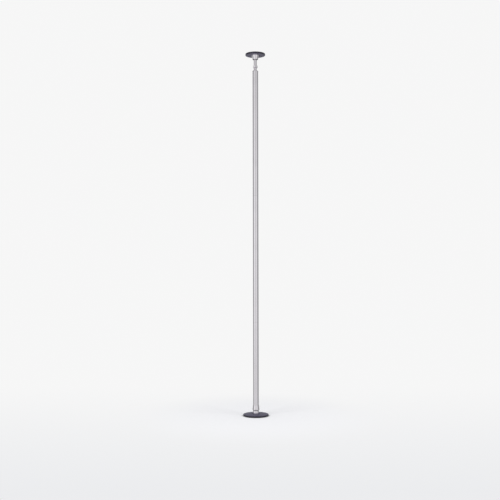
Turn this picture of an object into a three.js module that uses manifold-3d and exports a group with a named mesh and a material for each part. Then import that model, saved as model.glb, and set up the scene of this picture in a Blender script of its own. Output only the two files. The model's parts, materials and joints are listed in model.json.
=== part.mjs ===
// Dance pole, a spinning tube held by pressure between the floor and the ceiling.
// Sizes are in millimetres and +Z is up. The origin is the middle of the floor pad's underside.

import * as THREE from 'three';
import { mergeVertices } from 'three/addons/utils/BufferGeometryUtils.js';
import Module from 'manifold-3d';

const wasm = await Module();
wasm.setup();

// The pole as a whole
const roomHeight = 2850; // floor to ceiling with the jack at rest
const tubeDiameter = 45;
const tubeWall = 2;
const lowerTubeLength = 682;
const middleTubeLength = 1000;
const tubeEndChamfer = 0.4;

// Fits
const fit = 0.3; // clearance all round between pieces that slide or turn in each other
const stopGap = 1; // room that a stop keeps at the end of a travel
const overrun = 2; // how far a cutter reaches past the face that it opens

// Floor plate and its pad
const floorPadDiameter = 196;
const floorPadThickness = 4;
const padGrooveWidth = 3;
const padGrooveDepth = 1;
const padGrooveCount = 2;
const basePlateDiameter = 200;
const basePlateChamfer = 0.8;
const basePlateSide = 5;
const basePlateEdgeRound = 3;
const basePlateSeat = 9.2; // plate thickness under the hub
const basePlateCrown = 3.4; // rise of the top from the rounded edge to the middle
const hubRecessDiameter = 62;

// Hub
const hubStep = 0.5; // the hub stands out past the tube by this much
const hubHeight = 28.2;
const hubFootRound = 2.5;
const hubFlare = 1.8; // how much wider the hub is at its foot
const hubTopChamfer = 0.8;
const raceSeatWall = 1.7; // wall of the hub round the thrust race
const raceSeatDepth = 4.4;
const collarWidth = 3.5;
const collarThickness = 3.5;

// Hub bolt, countersunk from below
const hubBoltDiameter = 12;
const hubBoltHeadDiameter = 24;
const hubBoltHeadHeight = 6;
const hubBoltEngagement = 20;

// Thrust bearing between the hub and the skirt
const raceThickness = 3.6;
const raceGrooveDepth = 1.1;
const thrustBallDiameter = 6;
const thrustBallCount = 9;
const footBallCount = 8;
const headBallCount = 7;
const thrustCageThickness = 1.6;

// Skirt at the foot of the tube
const skirtFlare = 5; // how far the skirt's foot stands out past the tube
const skirtHeight = 38;
const skirtSide = 9;
const skirtLip = 0.6;
const skirtEdgeRound = 0.8;
const skirtSeatDepth = 2.4;
const skirtLedge = 3.4;

// Bearing housing in the foot of the tube
const housingWall = 2.4;
const bearingLedge = 2;
const bushWall = 2.7;
const bushStandoff = 19;
const bushLength = 22;
const bushToBearing = 6;
const footBearingWidth = 10;
const housingRim = 1;
const journalShoulder = 4;
const footPinDiameter = 5;
const footPinLevel = 28; // above the tube's foot
const footPinBite = 0.4; // the pin stops this far short of the housing's bore

// Spin lock screws
const lockScrewDiameter = 8;
const lockScrewLength = 11.5;
const lockScrewLevel = 9; // above the tube's foot
const lockTravel = 2;

// Retaining rings
const clipThickness = 1.2;
const clipGrooveDepth = 0.9;
const clipWidth = 2.6;
const clipEdge = 2.6; // shaft left beyond the groove
const clipOpening = THREE.MathUtils.degToRad(50);

// Expanding joints between the tubes
const expanderLength = 200;
const expanderSplit = 3;
const expanderLeadIn = 2;
const expanderScrewDiameter = 10;
const expanderScrewSink = 2;
const expanderScrewOffset = 55; // from the seam
const keyHoleDiameter = 8;

// Jack at the top of the tube
const rodDiameter = 24.5;
const bushFlangeDiameter = 47;
const bushFlangeThickness = 3;
const bushCollarDiameter = 37;
const bushCollarHeight = 4.5;
const jackBushLength = 45;
const bushScrewDiameter = 6;
const bushScrewDrop = 20; // below the tube's top
const bushScrewBite = 1; // the screw stops this far short of the bush's bore
const jackRise = 80;
const guideLength = 22;
const guideShoulder = 4;
const nutHeight = 17;
const nutAcrossFlats = 36;
const nutChamfer = 2.4;
const nutLift = 22; // from the bush's collar to the nut
const nutToCup = 47.3;
const nutPinDiameter = 4;

// Ceiling bearing, cup and plate
const headBearingDiameter = 42;
const headBearingWidth = 12;
const headJournalStep = 2.55;
const cupLip = 17.5; // from the cup's foot to the bearing
const cupRelief = 1.5;
const cupRecessWall = 2.5; // wall round the open recess in the cup's foot
const cupRecessDepth = 9;
const cupMouthGap = 2.25; // open ring between the rod and the cup's mouth
const cupFootMargin = 1;
const cupWall = 8.7;
const cupScrewDiameter = 4;
const cupScrewHeadDiameter = 8;
const cupScrewHeadHeight = 2.2;
const cupScrewLength = 14;
const cupScrewWall = 1.4; // left between a screw's hole and the bearing's seat
const cupScrewCount = 3;
const ceilingPlateDiameter = 156;
const ceilingPlateThickness = 8.5;
const ceilingPlateSide = 7.5;
const ceilingPlateEdgeRound = 3;
const ceilingPlateCrown = 0.6; // drop of the underside from the rounded edge to the middle
const cupSocketGap = 5; // between the cup and the plate's recess round it
const bossHeight = 4.5;
const bossWall = 4.8;
const headRoom = 2;
const ceilingPadDiameter = 152;
const ceilingPadThickness = 3.5;

// Ball bearing proportions
const ringShare = 0.28; // of the space between bore and outside, for each ring
const ballShare = 0.27; // of the same space, for the ball's radius
const cageWidthShare = 0.45; // of the ball's radius
const cageHeightShare = 1.5; // of the ball's radius
const thrustCageInsetShare = 0.12; // of the race's width

// Outline shares
const socketShare = 0.55; // a screw's hex socket against its diameter
const socketDepthShare = 0.4; // and its depth against the screw's length
const screwChamferShare = 0.12;
const cupFlareRadiusShare = 0.2; // corner of the cup's side curve, from foot to top
const cupFlareHeightShare = 0.42;
const skirtFlareRadiusShare = 0.8; // corner of the skirt's curve, from its top to its side
const skirtFlareHeightShare = 0.3;
const grooveSpreadShare = 0.8; // of the pad's radius that the grooves spread over

// Facets
const hexSides = 6;
const discSides = 30;
const wideSides = 22;
const bearingSides = 20;
const screwSides = 10;
const ballSides = 7;
const ballRows = 4;
const arcSteps = 3;
const curveSteps = 4;
const clipSteps = 7; // along each arc of a retaining ring

// Radii from the tube inwards
const tubeRadius = tubeDiameter / 2;
const tubeBore = tubeRadius - tubeWall;
const housingRadius = tubeBore - fit;
const footBearingRadius = housingRadius - housingWall - fit;
const bushRadius = footBearingRadius - bearingLedge;
const spindleRadius = bushRadius - bushWall - fit;
const journalRadius = spindleRadius - journalShoulder;
const spindleClearance = spindleRadius + 2 * fit;
const hubRadius = tubeRadius + hubStep;
const skirtRadius = tubeRadius + skirtFlare;
const raceRadius = hubRadius - raceSeatWall - fit;
const raceBore = spindleRadius + fit;
const rodRadius = rodDiameter / 2;

// Radii of the ceiling cup
const headBearingRadius = headBearingDiameter / 2;
const headJournalRadius = rodRadius - headJournalStep;
const cupSeatRadius = headBearingRadius + fit;
const cupTopRadius = cupSeatRadius + cupWall;
const cupScrewCircle = cupSeatRadius + cupScrewWall + cupScrewDiameter / 2 + fit;

// Levels from the floor up
const plateFoot = floorPadThickness;
const hubFoot = plateFoot + basePlateSeat;
const hubTop = hubFoot + hubHeight;
const thrustFoot = hubTop - raceSeatDepth;
const raceOpening = thrustBallDiameter + 2 * fit - 2 * raceGrooveDepth;
const thrustBallLevel = thrustFoot + raceThickness + raceOpening / 2;
const thrustTop = thrustFoot + 2 * raceThickness + raceOpening;
const skirtFoot = thrustTop - skirtSeatDepth;
const tubeFoot = thrustTop + skirtLedge;
const firstSeam = tubeFoot + lowerTubeLength;
const secondSeam = firstSeam + middleTubeLength;
const bushFoot = tubeFoot + bushStandoff;
const footBearingFoot = bushFoot + bushLength + bushToBearing;
const footBearingTop = footBearingFoot + footBearingWidth;
const lockLevel = tubeFoot + lockScrewLevel;

// Levels from the ceiling down
const ceilingPlateTop = roomHeight - ceilingPadThickness;
const ceilingPlateFoot = ceilingPlateTop - ceilingPlateThickness;
const headBearingTop = ceilingPlateFoot - bossHeight;
const headBearingFoot = headBearingTop - headBearingWidth;
const cupFoot = headBearingFoot - cupLip;
const nutFoot = cupFoot - nutToCup - nutHeight;
const bushTop = nutFoot - nutLift;
const upperTubeTop = bushTop - bushCollarHeight - bushFlangeThickness;
const upperTubeLength = upperTubeTop - secondSeam;
const jackBushFoot = upperTubeTop - jackBushLength;
const guideFoot = jackBushFoot - stopGap - jackRise - guideLength;
const rodFoot = guideFoot - fit - clipThickness - clipEdge;
const rodTop = headBearingTop + clipThickness + fit + clipEdge;

// Finishes
const finish = (color, metalness, roughness) => (
  new THREE.MeshStandardMaterial({ color, metalness, roughness })
);
const chrome = finish(0xc9c6cc, 1, 0.12);
const blackPaint = finish(0x3a3842, 0.2, 0.28);
const rubber = finish(0x1c1b1e, 0, 0.85);
const machinedSteel = finish(0x9b9aa0, 1, 0.35);
const bearingSteel = finish(0xb4b5ba, 1, 0.2);
const cageBrass = finish(0xb08d4a, 1, 0.4);
const bronze = finish(0x9c7440, 1, 0.45);
const aluminium = finish(0xaeb0b3, 1, 0.45);
const blackSteel = finish(0x2b2b2e, 0.8, 0.5);
const nylon = finish(0xe4e1d8, 0, 0.6);

// A closed outline of [radius, height] points, anticlockwise, turned about the z axis.
// An outline that starts off the axis is closed on its first point.
function turned(outline, sides) {
  const points = outline.map(([radius, height]) => new THREE.Vector2(radius, height));
  if (outline[0][0] > 0) points.push(points[0].clone());
  return solidOf(new THREE.LatheGeometry(points, sides).rotateX(Math.PI / 2));
}

// Points on an arc about [radius, height], from one angle to another, in radians.
function arc(radius, height, reach, from, to) {
  const points = [];
  for (let step = 0; step <= arcSteps; step += 1) {
    const angle = from + ((to - from) * step) / arcSteps;
    points.push([radius + reach * Math.cos(angle), height + reach * Math.sin(angle)]);
  }
  return points;
}

// Points on a curve from one [radius, height] to another that leans on a corner between them.
function lean(start, corner, end) {
  const [from, over, to] = [start, corner, end].map(([radius, height]) => new THREE.Vector2(radius, height));
  const curve = new THREE.QuadraticBezierCurve(from, over, to);
  return curve.getPoints(curveSteps).map((point) => [point.x, point.y]);
}

// The solid that a closed geometry bounds, its shared vertices merged and its empty faces dropped.
function solidOf(geometry) {
  geometry.deleteAttribute('normal');
  geometry.deleteAttribute('uv');
  const merged = mergeVertices(geometry);
  const corners = merged.index.array;
  const faces = [];
  for (let first = 0; first < corners.length; first += 3) {
    const [a, b, c] = corners.slice(first, first + 3);
    if (a !== b && b !== c && c !== a) faces.push(a, b, c);
  }
  return new wasm.Manifold(new wasm.Mesh({
    numProp: 3,
    vertProperties: new Float32Array(merged.attributes.position.array),
    triVerts: new Uint32Array(faces),
  }));
}

// The drawable geometry of a solid.
function geometryOf(solid) {
  const mesh = solid.getMesh();
  const geometry = new THREE.BufferGeometry();
  geometry.setAttribute('position', new THREE.BufferAttribute(new Float32Array(mesh.vertProperties), 3));
  geometry.setIndex(new THREE.BufferAttribute(new Uint32Array(mesh.triVerts), 1));
  geometry.computeVertexNormals();
  return geometry;
}

// A named piece of the pole, its own zero lifted to a level.
function piece(group, name, solid, material, level) {
  const mesh = new THREE.Mesh(geometryOf(solid), material);
  mesh.name = name;
  mesh.position.z = level;
  group.add(mesh);
  return mesh;
}

// Turns a piece that was made upright so that its own z axis points outwards at an angle round the pole.
function layRadially(mesh, angle, reach) {
  mesh.rotation.order = 'ZYX';
  mesh.rotation.set(0, Math.PI / 2, angle);
  mesh.position.x = reach * Math.cos(angle);
  mesh.position.y = reach * Math.sin(angle);
}

// A round cutter along a radius, from one reach to another, at a height and an angle round the axis.
function radialDrill(radius, from, to, height, angle) {
  const cutter = new THREE.CylinderGeometry(radius, radius, to - from, screwSides);
  cutter.rotateZ(-Math.PI / 2);
  cutter.translate((from + to) / 2, 0, height);
  cutter.rotateZ(angle);
  return solidOf(cutter);
}

// A plain ring between two radii, of one height.
function ring(bore, radius, height, sides) {
  return turned([[bore, 0], [radius, 0], [radius, height], [bore, height]], sides);
}

// Balls evenly round a circle, about height zero.
function balls(radius, circle, count) {
  const made = [];
  for (let index = 0; index < count; index += 1) {
    const angle = (index * 2 * Math.PI) / count;
    const ball = new THREE.SphereGeometry(radius, ballSides, ballRows);
    ball.translate(circle * Math.cos(angle), circle * Math.sin(angle), 0);
    made.push(solidOf(ball));
  }
  return made;
}

// A cage: a band round the balls' circle, with the balls seated in it.
function cage(bandInside, bandOutside, bandHeight, ballRadius, count) {
  const circle = (bandInside + bandOutside) / 2;
  const low = -bandHeight / 2;
  const high = bandHeight / 2;
  const outline = [[bandInside, low], [bandOutside, low], [bandOutside, high], [bandInside, high]];
  const band = turned(outline, bearingSides);
  return balls(ballRadius, circle, count).reduce((made, ball) => made.add(ball), band);
}

// The three pieces of a deep groove ball bearing, each from height zero up.
function ballBearing(bore, radius, width, count) {
  const space = radius - bore;
  const circle = (bore + radius) / 2;
  const ballRadius = space * ballShare;
  const groove = ballRadius + fit;
  const innerFace = bore + space * ringShare;
  const outerFace = radius - space * ringShare;
  const middle = width / 2;
  const turn = Math.acos((circle - innerFace) / groove);
  const inner = [
    [bore, 0],
    [innerFace, 0],
    ...arc(circle, middle, groove, Math.PI + turn, Math.PI - turn),
    [innerFace, width],
    [bore, width],
  ];
  const outer = [
    [outerFace, 0],
    [radius, 0],
    [radius, width],
    [outerFace, width],
    ...arc(circle, middle, groove, turn, -turn),
  ];
  const cageWidth = ballRadius * cageWidthShare;
  const cageHeight = ballRadius * cageHeightShare;
  return {
    inner: turned(inner, bearingSides),
    outer: turned(outer, bearingSides),
    cage: cage(circle - cageWidth / 2, circle + cageWidth / 2, cageHeight, ballRadius, count),
  };
}

// A thrust race from height zero up, its groove on top.
function thrustRace() {
  const circle = (raceBore + raceRadius) / 2;
  const groove = thrustBallDiameter / 2 + fit;
  const lift = raceThickness + raceOpening / 2;
  const turn = Math.acos(raceOpening / 2 / groove);
  const down = -Math.PI / 2;
  return turned([
    [raceBore, 0],
    [raceRadius, 0],
    [raceRadius, raceThickness],
    ...arc(circle, lift, groove, down + turn, down - turn),
    [raceBore, raceThickness],
  ], bearingSides);
}

// An open retaining ring for a groove in a shaft.
function retainingRing(shaftRadius) {
  const inside = shaftRadius - clipGrooveDepth + fit;
  const outside = inside + clipWidth;
  const start = clipOpening / 2;
  const end = 2 * Math.PI - clipOpening / 2;
  const outline = new THREE.Shape();
  outline.absarc(0, 0, outside, start, end, false);
  outline.absarc(0, 0, inside, end, start, true);
  outline.closePath();
  const flat = { depth: clipThickness, bevelEnabled: false, curveSegments: clipSteps };
  return solidOf(new THREE.ExtrudeGeometry(outline, flat));
}

// A headless screw from height zero up, its hex socket in the top end.
function socketScrew(radius, length) {
  const chamfer = radius * 2 * screwChamferShare;
  const body = turned([
    [0, 0],
    [radius - chamfer, 0],
    [radius, chamfer],
    [radius, length],
    [0, length],
  ], screwSides);
  const depth = length * socketDepthShare;
  const corner = radius * socketShare;
  const socket = new THREE.CylinderGeometry(corner, corner, depth + overrun, hexSides);
  socket.rotateX(Math.PI / 2);
  socket.translate(0, 0, length + (overrun - depth) / 2);
  return body.subtract(solidOf(socket));
}

// A pin from height zero up, its ends eased.
function pin(radius, length) {
  const chamfer = radius * 2 * screwChamferShare;
  return turned([
    [0, 0],
    [radius - chamfer, 0],
    [radius, chamfer],
    [radius, length - chamfer],
    [radius - chamfer, length],
    [0, length],
  ], screwSides);
}

// A countersunk screw, its head's flat face at height zero and its point upwards.
function countersunkScrew(headRadius, headHeight, radius, length) {
  return turned([
    [0, 0],
    [headRadius, 0],
    [radius, headHeight],
    [radius, length - radius * screwChamferShare],
    [radius - radius * screwChamferShare, length],
    [0, length],
  ], screwSides);
}

// A rubber pad from height zero up, with round V-shaped grip grooves in its underside.
function grippingPad(radius, thickness) {
  const outline = [[0, 0]];
  for (let index = 1; index <= padGrooveCount; index += 1) {
    const middle = (radius * grooveSpreadShare * index) / padGrooveCount;
    const start = middle - padGrooveWidth / 2;
    outline.push([start, 0], [middle, padGrooveDepth], [start + padGrooveWidth, 0]);
  }
  outline.push([radius, 0], [radius, thickness], [0, thickness]);
  return turned(outline, discSides);
}

// The floor plate: a shallow dome with a rounded edge and a recess for the hub.
function makeBasePlate() {
  const radius = basePlateDiameter / 2;
  const recess = hubRecessDiameter / 2;
  const crown = basePlateSide + basePlateEdgeRound + basePlateCrown;
  const hole = hubBoltDiameter / 2 + fit;
  return turned([
    [hubBoltHeadDiameter / 2 + fit, 0],
    [radius - basePlateChamfer, 0],
    [radius, basePlateChamfer],
    ...arc(radius - basePlateEdgeRound, basePlateSide, basePlateEdgeRound, 0, Math.PI / 2),
    [recess, crown],
    [recess, basePlateSeat],
    [hole, basePlateSeat],
    [hole, hubBoltHeadHeight],
  ], discSides);
}

// The hub: a turned cup that holds the spindle's collar and the lower thrust race.
function makeHub() {
  const collarFoot = hubHeight - raceSeatDepth - collarThickness - fit;
  const collarRadius = spindleRadius + collarWidth + fit;
  const footRadius = hubRadius + hubFlare;
  return turned([
    [spindleRadius + fit, 0],
    ...arc(footRadius - hubFootRound, hubFootRound, hubFootRound, -Math.PI / 2, 0),
    [hubRadius, hubHeight - hubTopChamfer],
    [hubRadius - hubTopChamfer, hubHeight],
    [raceRadius + fit, hubHeight],
    [raceRadius + fit, hubHeight - raceSeatDepth],
    [collarRadius, hubHeight - raceSeatDepth],
    [collarRadius, collarFoot],
    [spindleRadius + fit, collarFoot],
  ], wideSides);
}

// The spindle: stands on the plate, its collar holds the hub down and its journal carries the ball bearing.
function makeSpindle() {
  const holeRadius = hubBoltDiameter / 2 + fit;
  const holeDepth = hubBoltEngagement + stopGap;
  const collarTop = hubHeight - raceSeatDepth - fit;
  const shoulder = footBearingFoot - hubFoot;
  const grooveFoot = footBearingTop - hubFoot;
  const grooveTop = grooveFoot + clipThickness + fit;
  const top = grooveTop + clipEdge;
  return turned([
    [0, holeDepth],
    [holeRadius, holeDepth],
    [holeRadius, 0],
    [spindleRadius, 0],
    [spindleRadius, collarTop - collarThickness],
    [spindleRadius + collarWidth, collarTop - collarThickness],
    [spindleRadius + collarWidth, collarTop],
    [spindleRadius, collarTop],
    [spindleRadius, shoulder],
    [journalRadius, shoulder],
    [journalRadius, grooveFoot],
    [journalRadius - clipGrooveDepth, grooveFoot],
    [journalRadius - clipGrooveDepth, grooveTop],
    [journalRadius, grooveTop],
    [journalRadius, top],
    [0, top],
  ], bearingSides);
}

// The skirt: a flared ring that holds the upper race below its ledge and the tube above it.
function makeSkirt() {
  const bore = tubeRadius + fit;
  const top = bore + skirtLip;
  const corner = [
    top + (skirtRadius - top) * skirtFlareRadiusShare,
    skirtSide + (skirtHeight - skirtSide) * skirtFlareHeightShare,
  ];
  const ledgeTop = skirtSeatDepth + skirtLedge;
  const skirt = turned([
    [raceRadius + fit, 0],
    [skirtRadius - skirtEdgeRound, 0],
    [skirtRadius, skirtEdgeRound],
    ...lean([skirtRadius, skirtSide], corner, [top, skirtHeight]),
    [bore, skirtHeight],
    [bore, ledgeTop],
    [spindleClearance, ledgeTop],
    [spindleClearance, skirtSeatDepth],
    [raceRadius + fit, skirtSeatDepth],
  ], wideSides);
  return lockAngles.reduce((made, angle) => made.subtract(
    radialDrill(lockScrewDiameter / 2 + fit, 0, skirtRadius + overrun, lockLevel - skirtFoot, angle),
  ), skirt);
}

// The housing: a sleeve pinned in the tube's foot that holds the bush and the ball bearing.
function makeHousing() {
  const bushSeat = bushFoot - tubeFoot;
  const bearingSeat = footBearingFoot - tubeFoot;
  const top = footBearingTop - tubeFoot + housingRim;
  let housing = turned([
    [spindleClearance, 0],
    [housingRadius, 0],
    [housingRadius, top],
    [footBearingRadius + fit, top],
    [footBearingRadius + fit, bearingSeat],
    [bushRadius + fit, bearingSeat],
    [bushRadius + fit, bushSeat],
    [spindleClearance, bushSeat],
  ], wideSides);
  for (const angle of lockAngles) {
    const hole = radialDrill(lockScrewDiameter / 2 + fit, 0, housingRadius + overrun, lockScrewLevel, angle);
    housing = housing.subtract(hole);
  }
  for (const angle of footPinAngles) {
    const hole = radialDrill(footPinDiameter / 2 + fit, 0, housingRadius + overrun, footPinLevel, angle);
    housing = housing.subtract(hole);
  }
  return housing;
}

// A tube of one length with eased ends and round holes, each given by radius, height and angle.
function makeTube(length, holes) {
  const ease = tubeEndChamfer;
  const tube = turned([
    [tubeBore + ease, 0],
    [tubeRadius - ease, 0],
    [tubeRadius, ease],
    [tubeRadius, length - ease],
    [tubeRadius - ease, length],
    [tubeBore + ease, length],
    [tubeBore, length - ease],
    [tubeBore, ease],
  ], wideSides);
  return holes.reduce((made, hole) => made.subtract(
    radialDrill(hole.radius, tubeBore - overrun, tubeRadius + overrun, hole.height, hole.angle),
  ), tube);
}

// Half of an expanding joint, split along the pole, with a hole for each screw that passes it.
function makeExpanderHalf(side, screwHeights) {
  const radius = tubeBore - fit;
  const bar = turned([
    [0, 0],
    [radius - expanderLeadIn, 0],
    [radius, expanderLeadIn],
    [radius, expanderLength - expanderLeadIn],
    [radius - expanderLeadIn, expanderLength],
    [0, expanderLength],
  ], wideSides);
  const depth = radius + overrun - expanderSplit / 2;
  const keep = new THREE.BoxGeometry(2 * (radius + overrun), depth, expanderLength + 2 * overrun);
  keep.translate(0, (side * (depth + expanderSplit)) / 2, expanderLength / 2);
  return screwHeights.reduce((made, height) => made.subtract(
    radialDrill(expanderScrewDiameter / 2 + fit, 0, radius + overrun, height, side * (Math.PI / 2)),
  ), bar.intersect(solidOf(keep)));
}

// An expanding joint across a seam: two halves, and two screws that push them apart in the tubes.
function addExpander(group, name, seam) {
  const foot = seam - expanderLength / 2;
  const middle = expanderLength / 2;
  const heights = [middle - expanderScrewOffset, middle + expanderScrewOffset];
  piece(group, `${name}_half_front`, makeExpanderHalf(-1, []), aluminium, foot);
  piece(group, `${name}_half_back`, makeExpanderHalf(1, heights), aluminium, foot);
  const tip = fit - expanderSplit / 2;
  const length = tubeBore - fit - expanderScrewSink - tip;
  ['lower', 'upper'].forEach((place, index) => {
    const screw = socketScrew(expanderScrewDiameter / 2, length);
    const mesh = piece(group, `${name}_screw_${place}`, screw, blackSteel, foot + heights[index]);
    layRadially(mesh, backAngle, tip);
  });
}

// The jack bush: a threaded sleeve in the tube's top, with a rim that caps the tube and a collar on it.
function makeJackBush() {
  const radius = tubeBore - fit;
  const bore = rodRadius + fit;
  const rim = bushFlangeDiameter / 2;
  const collar = bushCollarDiameter / 2;
  const rimTop = jackBushLength + bushFlangeThickness;
  const top = rimTop + bushCollarHeight;
  const bush = turned([
    [bore, 0],
    [radius, 0],
    [radius, jackBushLength],
    [rim, jackBushLength],
    [rim, rimTop],
    [collar, rimTop],
    [collar, top],
    [bore, top],
  ], wideSides);
  return bushScrewAngles.reduce((made, angle) => made.subtract(
    radialDrill(bushScrewDiameter / 2 + fit, 0, radius + overrun, jackBushLength - bushScrewDrop, angle),
  ), bush);
}

// The jack rod: guided at its foot, turned by its nut, and shouldered at the top for the ceiling bearing.
function makeRod() {
  const footJournal = rodRadius - guideShoulder;
  const footGroove = clipEdge;
  const shoulder = guideFoot + guideLength + fit - rodFoot;
  const headShoulder = headBearingFoot - rodFoot;
  const headGroove = headBearingTop - rodFoot;
  const rod = turned([
    [0, 0],
    [footJournal, 0],
    [footJournal, footGroove],
    [footJournal - clipGrooveDepth, footGroove],
    [footJournal - clipGrooveDepth, footGroove + clipThickness + fit],
    [footJournal, footGroove + clipThickness + fit],
    [footJournal, shoulder],
    [rodRadius, shoulder],
    [rodRadius, headShoulder],
    [headJournalRadius, headShoulder],
    [headJournalRadius, headGroove],
    [headJournalRadius - clipGrooveDepth, headGroove],
    [headJournalRadius - clipGrooveDepth, headGroove + clipThickness + fit],
    [headJournalRadius, headGroove + clipThickness + fit],
    [headJournalRadius, rodTop - rodFoot],
    [0, rodTop - rodFoot],
  ], wideSides);
  const height = nutFoot + nutHeight / 2 - rodFoot;
  const reach = rodRadius + overrun;
  return rod.subtract(radialDrill(nutPinDiameter / 2 + fit, -reach, reach, height, 0));
}

// The turning nut: a hexagon with both ends chamfered, cross drilled for its pin.
function makeNut() {
  const corner = nutAcrossFlats / Math.sqrt(3);
  const flat = nutAcrossFlats / 2;
  const hexagon = new THREE.CylinderGeometry(corner, corner, nutHeight, hexSides);
  hexagon.rotateX(Math.PI / 2);
  hexagon.translate(0, 0, nutHeight / 2);
  const envelope = turned([
    [rodRadius + fit, 0],
    [flat - nutChamfer / 2, 0],
    [corner, nutChamfer],
    [corner, nutHeight - nutChamfer],
    [flat - nutChamfer / 2, nutHeight],
    [rodRadius + fit, nutHeight],
  ], wideSides);
  const reach = corner + overrun;
  const cross = radialDrill(nutPinDiameter / 2 + fit, -reach, reach, nutHeight / 2, 0);
  return solidOf(hexagon).intersect(envelope).subtract(cross);
}

// The ceiling cup: a flared bowl with a ledge for the ball bearing and a recessed mouth round the rod.
function makeCup() {
  const height = ceilingPlateFoot - cupFoot;
  const mouth = rodRadius + cupMouthGap;
  const footRadius = headBearingRadius + cupFootMargin;
  const recess = footRadius - cupRecessWall;
  const relief = headBearingRadius - headBearingRing();
  const corner = [
    footRadius + (cupTopRadius - footRadius) * cupFlareRadiusShare,
    height * cupFlareHeightShare,
  ];
  const cup = turned([
    [recess, 0],
    ...lean([footRadius, 0], corner, [cupTopRadius, height]),
    [cupSeatRadius, height],
    [cupSeatRadius, cupLip],
    [relief, cupLip],
    [relief, cupLip - cupRelief],
    [mouth, cupLip - cupRelief],
    [mouth, cupRecessDepth],
    [recess, cupRecessDepth],
  ], wideSides);
  const depth = cupScrewLength - ceilingPlateThickness + stopGap;
  return drillCircle(cup, height - depth, height + overrun);
}

// Thickness of the ceiling bearing's outer ring.
function headBearingRing() {
  return (headBearingRadius - headJournalRadius - fit) * ringShare;
}

// A solid with the cup screws' plain holes through it, from one height to another.
function drillCircle(solid, from, to) {
  let drilled = solid;
  for (const angle of cupScrewAngles) {
    const radius = cupScrewDiameter / 2 + fit;
    const hole = new THREE.CylinderGeometry(radius, radius, to - from, screwSides);
    hole.rotateX(Math.PI / 2);
    hole.translate(cupScrewCircle * Math.cos(angle), cupScrewCircle * Math.sin(angle), (from + to) / 2);
    drilled = drilled.subtract(solidOf(hole));
  }
  return drilled;
}

// The ceiling plate: a shallow dome with a rounded edge and a recess round the cup. Its boss presses on the
// ball bearing.
function makeCeilingPlate() {
  const radius = ceilingPlateDiameter / 2;
  const bossRadius = headBearingRadius;
  const bossBore = bossRadius - bossWall;
  const recess = rodTop + headRoom - ceilingPlateFoot;
  const socket = cupTopRadius + cupSocketGap;
  const edge = ceilingPlateThickness - ceilingPlateSide;
  const round = ceilingPlateEdgeRound;
  const plate = turned([
    [0, recess],
    [bossBore, recess],
    [bossBore, -bossHeight],
    [bossRadius, -bossHeight],
    [bossRadius, 0],
    [socket, 0],
    [socket, edge - round - ceilingPlateCrown],
    ...arc(radius - round, edge, round, -Math.PI / 2, 0),
    [radius, ceilingPlateThickness],
    [0, ceilingPlateThickness],
  ], discSides);
  let drilled = drillCircle(plate, -overrun, ceilingPlateThickness + overrun);
  for (const angle of cupScrewAngles) {
    const wide = cupScrewHeadDiameter / 2 + fit;
    const narrow = cupScrewDiameter / 2 + fit;
    const sink = new THREE.CylinderGeometry(wide, narrow, cupScrewHeadHeight, screwSides);
    sink.rotateX(Math.PI / 2);
    const middle = ceilingPlateThickness - cupScrewHeadHeight / 2;
    sink.translate(cupScrewCircle * Math.cos(angle), cupScrewCircle * Math.sin(angle), middle);
    drilled = drilled.subtract(solidOf(sink));
  }
  return drilled;
}

// Angles round the pole. The front is at -Y, so +X is the right-hand side.
const backAngle = Math.PI / 2;
const lockAngles = [0, Math.PI];
const footPinAngles = [backAngle, -backAngle];
const bushScrewAngles = [0, Math.PI];
const cupScrewAngles = [];
for (let index = 0; index < cupScrewCount; index += 1) {
  cupScrewAngles.push(backAngle + (index * 2 * Math.PI) / cupScrewCount);
}

const pole = new THREE.Group();

// Floor assembly, which stands still
const base = new THREE.Group();
pole.add(base);
piece(base, 'floor_pad', grippingPad(floorPadDiameter / 2, floorPadThickness), rubber, 0);
piece(base, 'base_plate', makeBasePlate(), blackPaint, plateFoot);
piece(base, 'base_hub', makeHub(), chrome, hubFoot);
piece(base, 'base_spindle', makeSpindle(), machinedSteel, hubFoot);
const hubBolt = countersunkScrew(
  hubBoltHeadDiameter / 2,
  hubBoltHeadHeight,
  hubBoltDiameter / 2,
  basePlateSeat + hubBoltEngagement,
);
piece(base, 'hub_bolt', hubBolt, blackSteel, plateFoot);
const footBearing = ballBearing(journalRadius + fit, footBearingRadius, footBearingWidth, footBallCount);
piece(base, 'thrust_race_lower', thrustRace(), bearingSteel, thrustFoot);
piece(base, 'foot_bearing_inner_ring', footBearing.inner, bearingSteel, footBearingFoot);
piece(base, 'spindle_retaining_ring', retainingRing(journalRadius), blackSteel, footBearingTop);

// Cages that roll between the floor assembly and the tube
const thrustInset = (raceRadius - raceBore) * thrustCageInsetShare;
const thrustCage = cage(
  raceBore + thrustInset,
  raceRadius - thrustInset,
  thrustCageThickness,
  thrustBallDiameter / 2,
  thrustBallCount,
);
piece(pole, 'thrust_ball_cage', thrustCage, cageBrass, thrustBallLevel);
piece(pole, 'foot_bearing_ball_cage', footBearing.cage, cageBrass, footBearingFoot + footBearingWidth / 2);

// Tube assembly, which spins
const spinner = new THREE.Group();
pole.add(spinner);
const upperRace = piece(spinner, 'thrust_race_upper', thrustRace(), bearingSteel, thrustTop);
upperRace.rotation.x = Math.PI;
piece(spinner, 'bottom_skirt', makeSkirt(), chrome, skirtFoot);
piece(spinner, 'bearing_housing', makeHousing(), machinedSteel, tubeFoot);
const spindleBush = ring(spindleRadius + fit, bushRadius, bushLength, bearingSides);
piece(spinner, 'spindle_bush', spindleBush, bronze, bushFoot);
piece(spinner, 'foot_bearing_outer_ring', footBearing.outer, bearingSteel, footBearingFoot);
const footPinStart = bushRadius + fit + footPinBite;
['back', 'front'].forEach((place, index) => {
  const dowel = pin(footPinDiameter / 2, tubeRadius - fit - footPinStart);
  const mesh = piece(spinner, `foot_pin_${place}`, dowel, machinedSteel, tubeFoot + footPinLevel);
  layRadially(mesh, footPinAngles[index], footPinStart);
});
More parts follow.
